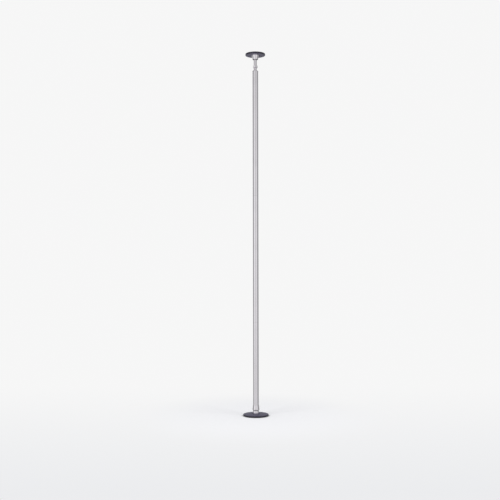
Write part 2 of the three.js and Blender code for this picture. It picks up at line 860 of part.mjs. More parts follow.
const keyHole = (height) => ({ radius: keyHoleDiameter / 2, height, angle: backAngle });
const lockHoles = lockAngles.map((angle) => (
  { radius: lockScrewDiameter / 2 + fit, height: lockScrewLevel, angle }
));
const footPinHoles = footPinAngles.map((angle) => (
  { radius: footPinDiameter / 2 + fit, height: footPinLevel, angle }
));
const bushScrewHoles = bushScrewAngles.map((angle) => (
  { radius: bushScrewDiameter / 2 + fit, height: upperTubeLength - bushScrewDrop, angle }
));
const lowerHoles = [...lockHoles, ...footPinHoles, keyHole(lowerTubeLength - expanderScrewOffset)];
const middleHoles = [keyHole(expanderScrewOffset), keyHole(middleTubeLength - expanderScrewOffset)];
const upperHoles = [keyHole(expanderScrewOffset), ...bushScrewHoles];
piece(spinner, 'lower_tube', makeTube(lowerTubeLength, lowerHoles), chrome, tubeFoot);
piece(spinner, 'middle_tube', makeTube(middleTubeLength, middleHoles), chrome, firstSeam);
piece(spinner, 'upper_tube', makeTube(upperTubeLength, upperHoles), chrome, secondSeam);
addExpander(spinner, 'lower_joint', firstSeam);
addExpander(spinner, 'upper_joint', secondSeam);
piece(spinner, 'jack_bush', makeJackBush(), chrome, jackBushFoot);
const bushScrewStart = rodRadius + fit + bushScrewBite;
['right', 'left'].forEach((place, index) => {
  const screw = socketScrew(bushScrewDiameter / 2, tubeRadius - fit - bushScrewStart);
  const mesh = piece(spinner, `bush_screw_${place}`, screw, blackSteel, upperTubeTop - bushScrewDrop);
  layRadially(mesh, bushScrewAngles[index], bushScrewStart);
});

// Lock screws, backed off so that the tube spins
['right', 'left'].forEach((place, index) => {
  const screw = socketScrew(lockScrewDiameter / 2, lockScrewLength);
  const mesh = piece(pole, `lock_screw_${place}`, screw, blackSteel, lockLevel);
  layRadially(mesh, lockAngles[index], spindleRadius + fit + lockTravel);
});

// Jack, which rises out of the tube as its rod is turned
const jack = new THREE.Group();
pole.add(jack);
const rodGuide = ring(rodRadius - guideShoulder + fit, tubeBore - fit, guideLength, wideSides);
piece(jack, 'rod_guide', rodGuide, nylon, guideFoot);
piece(jack, 'jack_rod', makeRod(), chrome, rodFoot);
piece(jack, 'guide_retaining_ring', retainingRing(rodRadius - guideShoulder), blackSteel, rodFoot + clipEdge);
piece(jack, 'turning_nut', makeNut(), chrome, nutFoot);
const nutPinLength = nutAcrossFlats - 2 * fit;
const crossPin = pin(nutPinDiameter / 2, nutPinLength);
const nutPin = piece(jack, 'nut_pin', crossPin, machinedSteel, nutFoot + nutHeight / 2);
layRadially(nutPin, 0, -nutPinLength / 2);
const headBearing = ballBearing(headJournalRadius + fit, headBearingRadius, headBearingWidth, headBallCount);
piece(jack, 'ceiling_bearing_inner_ring', headBearing.inner, bearingSteel, headBearingFoot);
piece(jack, 'rod_retaining_ring', retainingRing(headJournalRadius), blackSteel, headBearingTop);
piece(pole, 'ceiling_bearing_ball_cage', headBearing.cage, cageBrass, headBearingFoot + headBearingWidth / 2);

// Ceiling head, which rises with the jack and never turns
const head = new THREE.Group();
pole.add(head);
piece(head, 'ceiling_bearing_outer_ring', headBearing.outer, bearingSteel, headBearingFoot);
piece(head, 'ceiling_cup', makeCup(), chrome, cupFoot);
piece(head, 'ceiling_plate', makeCeilingPlate(), blackPaint, ceilingPlateFoot);
cupScrewAngles.forEach((angle, index) => {
  const screw = countersunkScrew(
    cupScrewHeadDiameter / 2,
    cupScrewHeadHeight,
    cupScrewDiameter / 2,
    cupScrewLength,
  );
  const mesh = piece(head, `cup_screw_${index + 1}`, screw, blackSteel, ceilingPlateTop);
  mesh.rotation.x = Math.PI;
  mesh.position.x = cupScrewCircle * Math.cos(angle);
  mesh.position.y = cupScrewCircle * Math.sin(angle);
});
const ceilingPad = grippingPad(ceilingPadDiameter / 2, ceilingPadThickness);
piece(head, 'ceiling_pad', ceilingPad, rubber, roomHeight).rotation.x = Math.PI;

export default pole;
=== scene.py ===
"""Looks of a spinning dance pole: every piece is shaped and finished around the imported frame."""

import json
import math

import bmesh
import bpy
import numpy as np
from bpy.props import FloatProperty, FloatVectorProperty, IntProperty, PointerProperty
from mathutils import Matrix, Vector

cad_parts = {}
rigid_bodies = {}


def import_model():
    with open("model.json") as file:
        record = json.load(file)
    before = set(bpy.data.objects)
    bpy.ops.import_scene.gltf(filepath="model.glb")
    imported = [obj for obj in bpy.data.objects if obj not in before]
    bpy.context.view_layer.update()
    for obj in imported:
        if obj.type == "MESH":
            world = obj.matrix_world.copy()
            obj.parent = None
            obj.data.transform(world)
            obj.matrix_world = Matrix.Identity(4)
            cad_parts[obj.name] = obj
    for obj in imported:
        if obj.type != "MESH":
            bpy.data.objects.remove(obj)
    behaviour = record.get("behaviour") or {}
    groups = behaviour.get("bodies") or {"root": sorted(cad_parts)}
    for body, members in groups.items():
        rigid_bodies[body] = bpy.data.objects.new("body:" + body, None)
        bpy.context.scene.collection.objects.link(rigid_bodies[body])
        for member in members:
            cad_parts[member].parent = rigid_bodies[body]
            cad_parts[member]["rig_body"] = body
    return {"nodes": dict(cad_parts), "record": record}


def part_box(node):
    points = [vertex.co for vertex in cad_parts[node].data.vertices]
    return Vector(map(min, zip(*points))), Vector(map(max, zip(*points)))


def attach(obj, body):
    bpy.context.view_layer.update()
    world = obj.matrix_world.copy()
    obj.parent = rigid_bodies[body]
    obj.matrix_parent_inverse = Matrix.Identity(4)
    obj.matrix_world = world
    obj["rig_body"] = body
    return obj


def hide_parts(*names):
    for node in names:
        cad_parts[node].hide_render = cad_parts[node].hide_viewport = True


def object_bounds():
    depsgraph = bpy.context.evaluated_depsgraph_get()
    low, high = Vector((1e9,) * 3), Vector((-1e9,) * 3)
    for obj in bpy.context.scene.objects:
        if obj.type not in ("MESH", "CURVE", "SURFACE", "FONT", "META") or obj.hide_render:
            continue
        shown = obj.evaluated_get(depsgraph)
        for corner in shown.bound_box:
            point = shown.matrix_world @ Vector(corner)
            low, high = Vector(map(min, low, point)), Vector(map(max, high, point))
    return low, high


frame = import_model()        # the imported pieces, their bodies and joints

bl_info = {
    "name": "Dance Pole",
    "version": (1, 0, 0),
    "blender": (4, 5, 0),
    "location": "View3D > Sidebar > Dance Pole",
    "description": "Shapes and finishes the pieces of a spinning dance pole",
    "category": "Add Mesh",
}

MM = 0.001
CAD_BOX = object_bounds()
SLOTS = {part["node"]: part["material_slot"] for part in frame["record"]["subparts"]}

# Turned work
ARC_STEPS = 5  # faces along an eased corner
ROUND_STEPS = 10  # faces along a rim, a round foot or a ball groove
CURVE_STEPS = 24  # faces along a flared side
EASE_SHARE = 0.38  # the most of a side that an eased corner may take
HOLD_SHARE = 0.25  # distance from an eased corner to the row that holds its shading
HOLE_MARGIN = 2  # rows of faces that ease a hole into the wall round it
SHARP_ANGLE = math.radians(33)
WELD = 0.000003  # points closer than this are one

# Metric coarse threads by diameter, in millimetres
COARSE_PITCH = {4: 0.7, 6: 1.0, 8: 1.25, 10: 1.5, 12: 1.75}
THREAD_DEPTH_SHARE = 0.6134  # of the pitch
METRIC_FLATS = (0.125, 0.0625)  # half of a thread's root flat and half of its crest flat, of the pitch
JACK_FLATS = (0.2, 0.17)

# Sizes that several pieces share
SHAFT = 12.5 * MM  # radius of the spindle in its bush
SHAFT_CLEAR = 13.1 * MM  # radius of the bores that the spindle doesn't touch
RACE_BORE = 12.8 * MM  # radius, of the thrust races
FOOT_JOURNAL = 8.5 * MM  # radius of the spindle in the foot bearing
GUIDE_JOURNAL = 8.25 * MM  # radius of the jack rod in its guide
HEAD_JOURNAL = 9.7 * MM  # radius of the jack rod in the ceiling bearing
FOOT_PIN, NUT_PIN = 2.5 * MM, 2 * MM  # radii
CUP_SCREW, BUSH_SCREW, LOCK_SCREW, JOINT_SCREW, HUB_BOLT = 4 * MM, 6 * MM, 8 * MM, 10 * MM, 12 * MM  # diameters
HUB_HEAD = 6 * MM  # height of the hub bolt's countersunk head
POCKET_CLEARANCE = 0.08 * MM  # between a ball and its cage
BALL_RINGS, BAND_SIDES = 16, 144  # faces of a ball from pole to pole, and round a cage's band
KEY_HOLE = 4 * MM  # radius of the tubes' holes for the key of the expanding joints

# Places round the pole. The front is at -Y.
RIGHT, BACK, LEFT, FRONT = 0.0, math.pi / 2, math.pi, -math.pi / 2
WAYS = {RIGHT: (0, 1), BACK: (1, 1), LEFT: (0, -1), FRONT: (1, -1)}  # the axis and its sign
UPSIDE_DOWN = Matrix.Rotation(math.pi, 4, "X")

COLOUR = {"subtype": "COLOR", "size": 3, "min": 0, "max": 1}


class DancePoleSizes(bpy.types.PropertyGroup):
    """Sizes of the pieces that the frame's boxes don't give."""

    sides: IntProperty(
        name="Sides", description="Faces round a tube or plate", default=144, min=48, max=480, step=12
    )
    screw_sides: IntProperty(
        name="Screw sides", description="Faces round a screw or pin", default=48, min=24, max=144
    )
    fit: FloatProperty(
        name="Fit", description="Clearance between pieces that slide or turn", default=0.3 * MM,
        min=0.0, precision=5, unit="LENGTH",
    )
    tube_wall: FloatProperty(
        name="Tube wall", description="Wall of the pole's tubes", default=2 * MM, min=MM, precision=4,
        unit="LENGTH",
    )
    edge: FloatProperty(
        name="Edge", description="Rounding of a machined edge", default=0.4 * MM, min=0.0, precision=5,
        unit="LENGTH",
    )
    jack_pitch: FloatProperty(
        name="Jack pitch", description="Rise of the jack for one turn", default=3 * MM, min=MM, precision=4,
        unit="LENGTH",
    )
    jack_depth: FloatProperty(
        name="Jack thread depth", description="Depth of the jack's thread", default=1.6 * MM, min=0.0,
        precision=5, unit="LENGTH",
    )
    thrust_balls: IntProperty(name="Thrust balls", description="Balls of the thrust bearing", default=9, min=3)
    foot_balls: IntProperty(name="Foot balls", description="Balls of the foot bearing", default=8, min=3)
    ceiling_balls: IntProperty(
        name="Ceiling balls", description="Balls of the ceiling bearing", default=7, min=3
    )
    pad_grooves: IntProperty(name="Pad grooves", description="Grip grooves under each pad", default=12, min=0)


class DancePoleFinishes(bpy.types.PropertyGroup):
    """Colours of the finishes."""

    chrome: FloatVectorProperty(
        name="Chrome", description="Bright plated tube, cup and hub", default=(0.88, 0.855, 0.895), **COLOUR
    )
    paint: FloatVectorProperty(
        name="Paint", description="Gloss coat of the two plates", default=(0.066, 0.061, 0.083), **COLOUR
    )
    rubber: FloatVectorProperty(
        name="Rubber", description="Floor and ceiling pads", default=(0.016, 0.015, 0.017), **COLOUR
    )
    chrome_roughness: FloatProperty(
        name="Chrome roughness", description="Blur of the chrome's reflections", default=0.1, min=0, max=1
    )


class DancePoleStage(bpy.types.PropertyGroup):
    """Floor, light and camera."""

    camera_distance: FloatProperty(
        name="Camera distance", description="From the pole to the camera", default=6.35, min=1, unit="LENGTH"
    )
    camera_height: FloatProperty(
        name="Camera height", description="Above the floor", default=1.23, min=0, unit="LENGTH"
    )
    camera_aside: FloatProperty(
        name="Camera aside", description="How far the camera stands left of the pole", default=0.0445,
        unit="LENGTH",
    )
    camera_roll: FloatProperty(
        name="Camera roll", description="Lean of the camera to the right", default=0.00195, unit="ROTATION"
    )
    lens: FloatProperty(name="Lens", description="Focal length in millimetres", default=58.023, min=10)
    horizon: FloatProperty(name="Horizon", description="Shift of the horizon below the middle", default=0.01896)
    backdrop: FloatVectorProperty(
        name="Backdrop", description="Colour behind the pole", default=(0.925, 0.925, 0.925), **COLOUR
    )
    floor: FloatVectorProperty(
        name="Floor", description="Colour of the floor at the pole", default=(0.850, 0.850, 0.855), **COLOUR
    )
    # painted shade: the floor's glow is darkened toward the camera in this colour
    shaded_near_floor: FloatVectorProperty(
        name="Near floor", description="Colour of the floor toward the camera", default=(0.835, 0.842, 0.858),
        **COLOUR,
    )
    ambient: FloatProperty(name="Ambient", description="Light from all round", default=0.8, min=0)
    lamp: FloatProperty(name="Lamp", description="Power of each soft lamp", default=55.0, min=0, unit="POWER")


def sizes():
    """The sizes that the user can change."""
    return bpy.context.scene.dance_pole_sizes


def foot(node):
    """Height of a node's lowest point."""
    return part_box(node)[0].z


def top(node):
    """Height of a node's highest point."""
    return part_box(node)[1].z


def middle(node):
    """Height halfway up a node."""
    return (foot(node) + top(node)) / 2


def radius(node):
    """Outer radius of a node that is turned about the pole's axis."""
    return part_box(node)[1].y


# Outlines of turned pieces

def eased(corners):
    """Points (radius, height, on an edge or not) of an outline; a third number rounds its corner.

    An outline that starts on the axis ends there too, and any other closes on its first corner.
    """
    closed = corners[0][0] > 0
    count = len(corners)
    points = []
    for index, corner in enumerate(corners):
        place = np.array(corner[:2], float)
        ease = corner[2] if len(corner) > 2 else 0.0
        if ease == 0 or (not closed and index in (0, count - 1)):
            points.append((*place, 0.0))
            continue
        before = np.array(corners[index - 1][:2]) - place
        after = np.array(corners[(index + 1) % count][:2]) - place
        shorter = min(np.linalg.norm(before), np.linalg.norm(after))
        before /= np.linalg.norm(before)
        after /= np.linalg.norm(after)
        half = math.acos(max(-1.0, min(1.0, float(before @ after)))) / 2
        back = min(ease / math.tan(half), EASE_SHARE * shorter)
        centre = before + after
        centre = place + centre / np.linalg.norm(centre) * back / math.cos(half)
        start = place + before * back - centre
        end = place + after * back - centre
        turn = math.pi - 2 * half
        hold = back * (1 + HOLD_SHARE)
        points.append((*(place + before * hold), 0.0))
        for step in range(ARC_STEPS + 1):
            share = step / ARC_STEPS
            mixed = math.sin((1 - share) * turn) * start + math.sin(share * turn) * end
            points.append((*(centre + mixed / math.sin(turn)), 1.0))
        points.append((*(place + after * hold), 0.0))
    return points


def lean(start, corner, end):
    """Points of a curve from start to end that leans on the corner between them."""
    start, corner, end = (np.array(point) for point in (start, corner, end))
    shares = [step / CURVE_STEPS for step in range(CURVE_STEPS + 1)]
    return [tuple((1 - share) ** 2 * start + 2 * share * (1 - share) * corner + share ** 2 * end)
            for share in shares]


def arc(centre, reach, begin, end, steps=ROUND_STEPS):
    """Points on an arc about a centre, from one angle to another."""
    angles = [begin + (end - begin) * step / steps for step in range(steps + 1)]
    return [(centre[0] + reach * math.cos(a), centre[1] + reach * math.sin(a)) for a in angles]


def lifted(corners, height):
    """The same corners, all raised by a height."""
    return [(corner[0], corner[1] + height, *corner[2:]) for corner in corners]


def ring_groove(journal, level):
    """Corners of a retaining ring's groove in a shaft, from its foot up."""
    depth, width, ease = 0.9 * MM, 1.5 * MM, 0.1 * MM
    floor, end = journal - depth, level + width
    return [(journal, level, ease), (floor, level), (floor, end), (journal, end, ease)]


def with_levels(points, levels):
    """An outline's points with a row at each level on every wall that crosses them, and no other row between."""
    near_enough = WELD / 3
    made = []
    for point, following in zip(points, points[1:] + points[:1]):
        made.append(point)
        rise = following[1] - point[1]
        if abs(rise) < WELD:
            continue
        least = near_enough / abs(rise)
        for share in sorted((level - point[1]) / rise for level in levels):
            if least < share < 1 - least:
                made.append(tuple(a + (b - a) * share for a, b in zip(point, following)))
    gaps = [min(abs(point[1] - level) for level in levels) for point in made]
    return [
        point for point, gap in zip(made, gaps) if gap < near_enough or not levels[0] < point[1] < levels[-1]
    ]


# Meshes

def around(sides):
    """The angles of points spaced evenly round the axis."""
    return 2 * math.pi * np.arange(sides) / sides


def ring(reach, height, sides):
    """Points round the axis; the radius and the height are each one number, or one for each point."""
    angles = around(sides)
    return list(zip(reach * np.cos(angles), reach * np.sin(angles), np.broadcast_to(height, sides)))


def quads(rows, sides, closed=False, gone=()):
    """The faces between neighbouring rings of points, apart from those that are gone."""
    faces = []
    for row in range(rows if closed else rows - 1):
        here, above = row * sides, (row + 1) % rows * sides
        for side in range(sides):
            if (row, side) not in gone:
                after = (side + 1) % sides
                faces.append((here + side, here + after, above + after, above + side))
    return faces


def meshed(places, faces, edges):
    """A mesh that keeps how much each of its points lies on an edge."""
    mesh = bpy.data.meshes.new("made")
    mesh.from_pydata(places, [], faces)
    mesh.attributes.new("edge", "FLOAT", "POINT").data.foreach_set("value", edges)
    return mesh


def skin(rings, edges=None):
    """An open skin through rings of points, each with as many points as the others."""
    count = len(rings[0])
    places = [place for points in rings for place in points]
    return meshed(places, quads(len(rings), count), np.repeat(edges or [0.0] * len(rings), count))


def open_turned(corners, sides):
    """The skin between the first and the last corner of an outline, which may both be off the axis."""
    points = eased([(0.0, corners[0][1]), *corners, (0.0, corners[-1][1])])[1:-1]
    return skin([ring(reach, height, sides) for reach, height, _ in points], [point[2] for point in points])


class Turning:
    """A turned piece as rows of points round the axis, with the holes drilled through its wall."""

    def __init__(self, corners, sides, holes=()):
        self.sides = sides
        self.closed = corners[0][0] > 0
        points = eased(corners)
        plans = [self.planned(points, *hole) for hole in holes]
        for hole in plans:
            points = with_levels(points, hole["levels"])
        self.radii, self.heights, self.edges = np.array(points).T
        self.places = np.array([ring(reach, height, sides) for reach, height, _ in points])
        self.gone = set()
        self.more_places = []
        self.more_faces = []
        for hole in plans:
            self.drill(hole)

    def planned(self, points, angle, level, bore, bevel):
        """A hole's levels and block of faces, fitted to the wall that it passes."""
        reach = max(
            max(a[0], b[0]) for a, b in zip(points, points[1:] + points[:1])
            if min(a[1], b[1]) <= level <= max(a[1], b[1])
        )
        cell = reach * 2 * math.pi / self.sides
        half = max(2, math.ceil((bore + bevel) / cell))
        wide = half + HOLE_MARGIN
        return {
            "angle": angle, "level": level, "bore": bore, "bevel": bevel, "cell": cell, "half": half, "wide": wide,
            "levels": [level + cell * step for step in range(-wide, wide + 1)],
            "column": round(angle / (2 * math.pi) * self.sides),
        }

    def drill(self, hole):
        """Opens one round hole: faces near it flow round its rim, and its own wall joins the two sides."""
        found = [np.flatnonzero(abs(self.heights - level) < WELD / 2) for level in hole["levels"]]
        outer, inner = (
            self.open_wall(hole, [int(rows[pick(self.radii[rows])]) for rows in found], bore)
            for pick, bore in ((np.argmax, hole["bore"] + hole["bevel"]), (np.argmin, hole["bore"]))
        )
        places = self.places.reshape(-1, 3)
        first = len(places) + len(self.more_places)
        shoulder = range(first, first + len(outer))
        for (_, _, angle), start in zip(self.rim(hole), outer):
            reach = math.hypot(*places[start][:2]) - hole["bevel"]
            self.more_places.append(
                self.on_wall(hole, hole["bore"] * math.cos(angle), hole["bore"] * math.sin(angle), reach)
            )
        for near, far in ((outer, shoulder), (shoulder, inner)):
            for index in range(len(near)):
                after = (index + 1) % len(near)
                self.more_faces.append((near[index], near[after], far[after], far[index]))

    def rim(self, hole):
        """The block's outline as (row, column, angle on the rim), anticlockwise seen from outside."""
        half = hole["half"]
        cells = [(row, half) for row in range(-half, half)]
        cells += [(half, column) for column in range(half, -half, -1)]
        cells += [(row, -half) for row in range(half, -half, -1)]
        cells += [(-half, column) for column in range(-half, half)]
        return [(row, column, self.rim_angle(row, column)) for row, column in cells]

    @staticmethod
    def rim_angle(row, column):
        """Where a point of a square block goes on a round rim."""
        if abs(column) >= abs(row):
            return math.pi / 4 * row / column + (math.pi if column < 0 else 0)
        return math.pi / 2 - math.pi / 4 * column / row + (math.pi if row < 0 else 0)

    def on_wall(self, hole, across, up, reach):
        """The point of a round wall of one radius that lies across and up from the hole's middle."""
        out = math.sqrt(max(reach ** 2 - across ** 2, 0))
        cosine, sine = math.cos(hole["angle"]), math.sin(hole["angle"])
        return (out * cosine - across * sine, out * sine + across * cosine, hole["level"] + up)

    def open_wall(self, hole, rows, bore):
        """Moves one wall's points onto the hole's rim, takes out the faces inside and returns the rim's points."""
        half, wide, cell = hole["half"], hole["wide"], hole["cell"]
        order = np.argsort(self.heights[rows])
        heights = self.heights[rows][order]
        radii = self.radii[rows][order]
        step = 2 * math.pi / self.sides
        for row in range(-wide, wide + 1):
            for column in range(-wide, wide + 1):
                away = max(abs(row), abs(column))
                if not half <= away < wide:
                    continue
                angle = self.rim_angle(row, column)
                share = (away - half) / (wide - half)
                reach = bore + (away - half) * cell
                flat = float(np.interp(hole["level"] + row * cell, heights, radii))
                across = (1 - share) * reach * math.cos(angle) + share * flat * math.sin(column * step)
                up = (1 - share) * reach * math.sin(angle) + share * row * cell
                wall = float(np.interp(hole["level"] + up, heights, radii))
                side = (hole["column"] + column) % self.sides
                self.places[rows[row + wide], side] = self.on_wall(hole, across, up, wall)
        for row in range(-half, half):
            for column in range(-half, half):
                lower = min(rows[row + wide], rows[row + 1 + wide])
                self.gone.add((lower, (hole["column"] + column) % self.sides))
        return [
            rows[row + wide] * self.sides + (hole["column"] + column) % self.sides
            for row, column, _ in self.rim(hole)
        ]

    def mesh(self):
        """The closed mesh of the piece."""
        faces = quads(len(self.heights), self.sides, self.closed, self.gone)
        places = [tuple(place) for place in self.places.reshape(-1, 3)] + self.more_places
        edges = list(np.repeat(self.edges, self.sides)) + [1.0] * len(self.more_places)
        return welded(meshed(places, faces + self.more_faces, edges))


def welded(*meshes):
    """The meshes as one, with points that coincide made one and loose points left out."""
    made = bmesh.new()
    for mesh in meshes:
        made.from_mesh(mesh)
    bmesh.ops.remove_doubles(made, verts=made.verts, dist=WELD)
    loose = [vert for vert in made.verts if not vert.link_faces]
    bmesh.ops.delete(made, geom=loose, context="VERTS")
    joined = meshes[0].copy()
    made.to_mesh(joined)
    made.free()
    return joined


def turned(corners, sides=None, holes=()):
    """The mesh of a turned piece with round holes, each (angle, level, bore radius, bevel), through its wall."""
    return Turning(corners, sides or sizes().sides, holes).mesh()


def holes_at(node, angles, bore, bevel):
    """Holes through a turned wall at the height of a screw or pin, one at each angle."""
    return [(angle, middle(node), bore, bevel) for angle in angles]


def foot_holes(size):
    """The holes that the bearing housing and the lower tube share."""
    bevel = 0.2 * MM
    lock = holes_at("lock_screw_right", (RIGHT, LEFT), LOCK_SCREW / 2 + size.fit, bevel)
    return lock + holes_at("foot_pin_back", (BACK, FRONT), FOOT_PIN + size.fit, bevel)


def mark(mesh, name, chosen):
    """Stores 1 on the points whose distance from the axis and height a test picks, and 0 on the others."""
    values = [float(chosen(math.hypot(*vertex.co.xy), vertex.co.z)) for vertex in mesh.vertices]
    mesh.attributes.new(name, "FLOAT", "POINT").data.foreach_set("value", values)


def hexagon(across_flats, sides):
    """Distance from the axis to a hexagon's sides, at each angle; its flats face right and left."""
    sixth = math.pi / 3
    nudge = 1e-9  # keeps a flat's middle on its own side of the fold
    return across_flats / 2 / np.cos(np.mod(around(sides) + sixth / 2 + nudge, sixth) - sixth / 2)


def moved(mesh, matrix):
    """The mesh put in its place."""
    mesh.transform(matrix)
    return mesh


def shift(x, y, z):
    """A move without a turn."""
    return Matrix.Translation((x, y, z))


def outwards(angle, reach, height):
    """Where a piece made upright goes, so that it points away from the axis at an angle."""
    return (
        shift(reach * math.cos(angle), reach * math.sin(angle), height)
        @ Matrix.Rotation(angle, 4, "Z") @ Matrix.Rotation(math.pi / 2, 4, "Y")
    )


def shown(name, data):
    """A new object in the scene."""
    piece = bpy.data.objects.new(name, data)
    bpy.context.scene.collection.objects.link(piece)
    return piece


def evaluated(piece):
    """A plain mesh of an object with its modifiers applied; the object goes."""
    graph = bpy.context.evaluated_depsgraph_get()
    graph.update()
    made = bpy.data.meshes.new_from_object(piece.evaluated_get(graph), depsgraph=graph)
    bpy.data.objects.remove(piece)
    return made


def cut(mesh, *cutters):
    """The mesh with other closed meshes taken out of it."""
    piece = shown("piece", mesh)
    tools = [shown("tool", cutter) for cutter in cutters]
    for tool in tools:
        modifier = piece.modifiers.new("cut", "BOOLEAN")
        modifier.operation = "DIFFERENCE"
        modifier.solver = "EXACT"
        modifier.object = tool
    made = evaluated(piece)
    for tool in tools:
        bpy.data.objects.remove(tool)
    return made


def drill_bit(bore, length):
    """A round cutter from height zero up."""
    return turned([(0, 0), (bore, 0), (bore, length), (0, length)], sizes().screw_sides)


def dress(mesh, node, painted=False):
    """Shows a mesh as the finished piece of a node, in the node's finish unless it is painted already."""
    mesh.shade_smooth()
    mesh.set_sharp_from_angle(angle=SHARP_ANGLE)
    piece = shown(f"{node}_finished", mesh)
    if not painted:
        mesh.materials.clear()
        mesh.materials.append(finish(SLOTS[node]))
    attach(piece, frame["nodes"][node]["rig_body"])
    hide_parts(node)


def set_across(node, angle, make, *details):
    """Dresses a screw or pin that points away from the axis; it is made upright, as long as its node."""
    axis, sign = WAYS[angle]
    start, end = sorted(sign * corner[axis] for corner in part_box(node))
    dress(moved(make(end - start, *details), outwards(angle, start, middle(node))), node)


# Node trees

class Value:
    """One output of a node, to reckon with: each sum is a Math node in its tree."""

    def __init__(self, tree, socket):
        self.tree = tree
        self.socket = socket

    def math(self, operation, *others):
        """The result of a Math node on this value and others."""
        return put(self.tree, "ShaderNodeMath", dict(enumerate((self, *others))), operation=operation)

    def __add__(self, other):
        return self.math("ADD", other)

    def __sub__(self, other):
        return self.math("SUBTRACT", other)

    def __rsub__(self, other):
        return put(self.tree, "ShaderNodeMath", {0: other, 1: self}, operation="SUBTRACT")

    def __mul__(self, other):
        return self.math("MULTIPLY", other)

    def __truediv__(self, other):
        return self.math("DIVIDE", other)

    def axis(self, index):
        """One part of a vector."""
        return put(self.tree, "ShaderNodeSeparateXYZ", {0: self}, index)

    def carried(self, low, high, new_low, new_high, **settings):
        """The value carried from one range to another, and kept inside it."""
        return put(self.tree, "ShaderNodeMapRange", {
            0: self, 1: low, 2: high, 3: new_low, 4: new_high,
        }, **settings)


def feed(tree, made, inputs):
    """Gives a node's inputs their values or their links."""
    for key, value in inputs.items():
        if isinstance(value, Value):
            tree.links.new(value.socket, made.inputs[key])
        else:
            made.inputs[key].default_value = value


def put(tree, kind, inputs=None, out=0, **settings):
    """One output of a new node of a kind, with its settings and inputs."""
    made = tree.nodes.new(kind)
    for key, value in settings.items():
        setattr(made, key, value)
    feed(tree, made, inputs or {})
    return Value(tree, made.outputs[out])


def blend(tree, share, first, second, **settings):
    """A mix of two colours."""
    return put(tree, "ShaderNodeMix", {0: share, 6: first, 7: second}, 2, data_type="RGBA", **settings)


def opaque(colour):
    """A colour with its fourth channel."""
    return (*colour, 1.0)


def geometry_tree(name, inputs):
    """A geometry tree with named inputs; returns it with the values of its inputs, in their order."""
    tree = bpy.data.node_groups.new(name, "GeometryNodeTree")
    for label, kind in inputs.items():
        tree.interface.new_socket(name=label, in_out="INPUT", socket_type=f"NodeSocket{kind}")
    tree.interface.new_socket(name="Geometry", in_out="OUTPUT", socket_type="NodeSocketGeometry")
    given = tree.nodes.new("NodeGroupInput").outputs
    return tree, [Value(tree, given[label]) for label in inputs]


def grown(tree, values):
    """The plain mesh that a geometry tree makes from these values."""
    piece = shown("grown", bpy.data.meshes.new("grown"))
    modifier = piece.modifiers.new("grow", "NODES")
    modifier.node_group = tree
    for item in tree.interface.items_tree:
        if item.in_out == "INPUT":
            modifier[item.identifier] = values[item.name]
    return evaluated(piece)


def thread_tree():
    """A screw thread as one skin between two levels, cut away at 45 degrees at both ends.

    Its turns keep step with height zero, so a nut and a screw made by it mesh.
    """
    tree, given = geometry_tree("Screw Thread", {
        "Minor Radius": "Float", "Major Radius": "Float", "Pitch": "Float", "Start": "Float", "End": "Float",
        "Root Share": "Float", "Crest Share": "Float", "Sides": "Int", "Internal": "Bool",
        "Merge Distance": "Float", "Material": "Material",
    })
    minor, major, pitch, start, stop, root, crest_half, sides, internal, merge, material = given
    points = 6  # of one turn's profile, from root to root
    steps = (((stop - start) / pitch).math("CEIL") + 3) * sides
    grid = put(tree, "GeometryNodeMeshGrid", {
        "Size X": steps, "Size Y": points - 1, "Vertices X": steps + 1, "Vertices Y": points,
    })
    place = put(tree, "GeometryNodeInputPosition")
    along = (place.axis(0) + steps / 2).math("ROUND")
    corner = (place.axis(1) + (points - 1) / 2).math("ROUND")
    crest = 0.5 - crest_half
    switch = tree.nodes.new("GeometryNodeIndexSwitch")
    switch.data_type = "FLOAT"
    while len(switch.index_switch_items) < points:
        switch.index_switch_items.new()
    feed(tree, switch, dict(enumerate((corner, 0.0, root, crest, 1 - crest, 1 - root, 1.0))))
    on_crest = (corner - (points - 1) / 2).math("ABSOLUTE").math("LESS_THAN", 1)
    turn = along / sides
    height = ((start / pitch).math("FLOOR") - 1 + turn + Value(tree, switch.outputs[0])) * pitch
    height = height.math("MAXIMUM", start).math("MINIMUM", stop)
    near_end = (height - start).math("MINIMUM", stop - height)
    plain = minor + (major - minor) * on_crest
    reach = put(tree, "GeometryNodeSwitch", {
        "Switch": internal, "False": plain.math("MINIMUM", minor + near_end),
        "True": plain.math("MAXIMUM", major - near_end),
    }, input_type="FLOAT")
    angle = turn * (2 * math.pi)
    spot = put(tree, "ShaderNodeCombineXYZ", {
        0: reach * angle.math("COSINE"), 1: reach * angle.math("SINE"), 2: height,
    })
    placed = put(tree, "GeometryNodeSetPosition", {"Geometry": grid, "Position": spot})
    merged = put(tree, "GeometryNodeMergeByDistance", {"Geometry": placed, "Distance": merge})
    flipped = put(tree, "GeometryNodeFlipFaces", {"Mesh": merged, "Selection": internal})
    real = put(tree, "GeometryNodeRealizeInstances", {"Geometry": flipped})
    painted = put(tree, "GeometryNodeSetMaterial", {"Geometry": real, "Material": material})
    feed(tree, tree.nodes.new("NodeGroupOutput"), {0: painted})
    return tree


def thread(minor, major, pitch, low, high, sides, material, internal=False, flats=METRIC_FLATS):
    """The skin of a screw thread between two levels."""
    return grown(bpy.data.node_groups.get("Screw Thread") or thread_tree(), {
        "Minor Radius": minor, "Major Radius": major, "Pitch": pitch, "Start": low, "End": high,
        "Root Share": flats[0], "Crest Share": flats[1], "Sides": sides, "Internal": internal,
        "Merge Distance": WELD, "Material": material,
    })


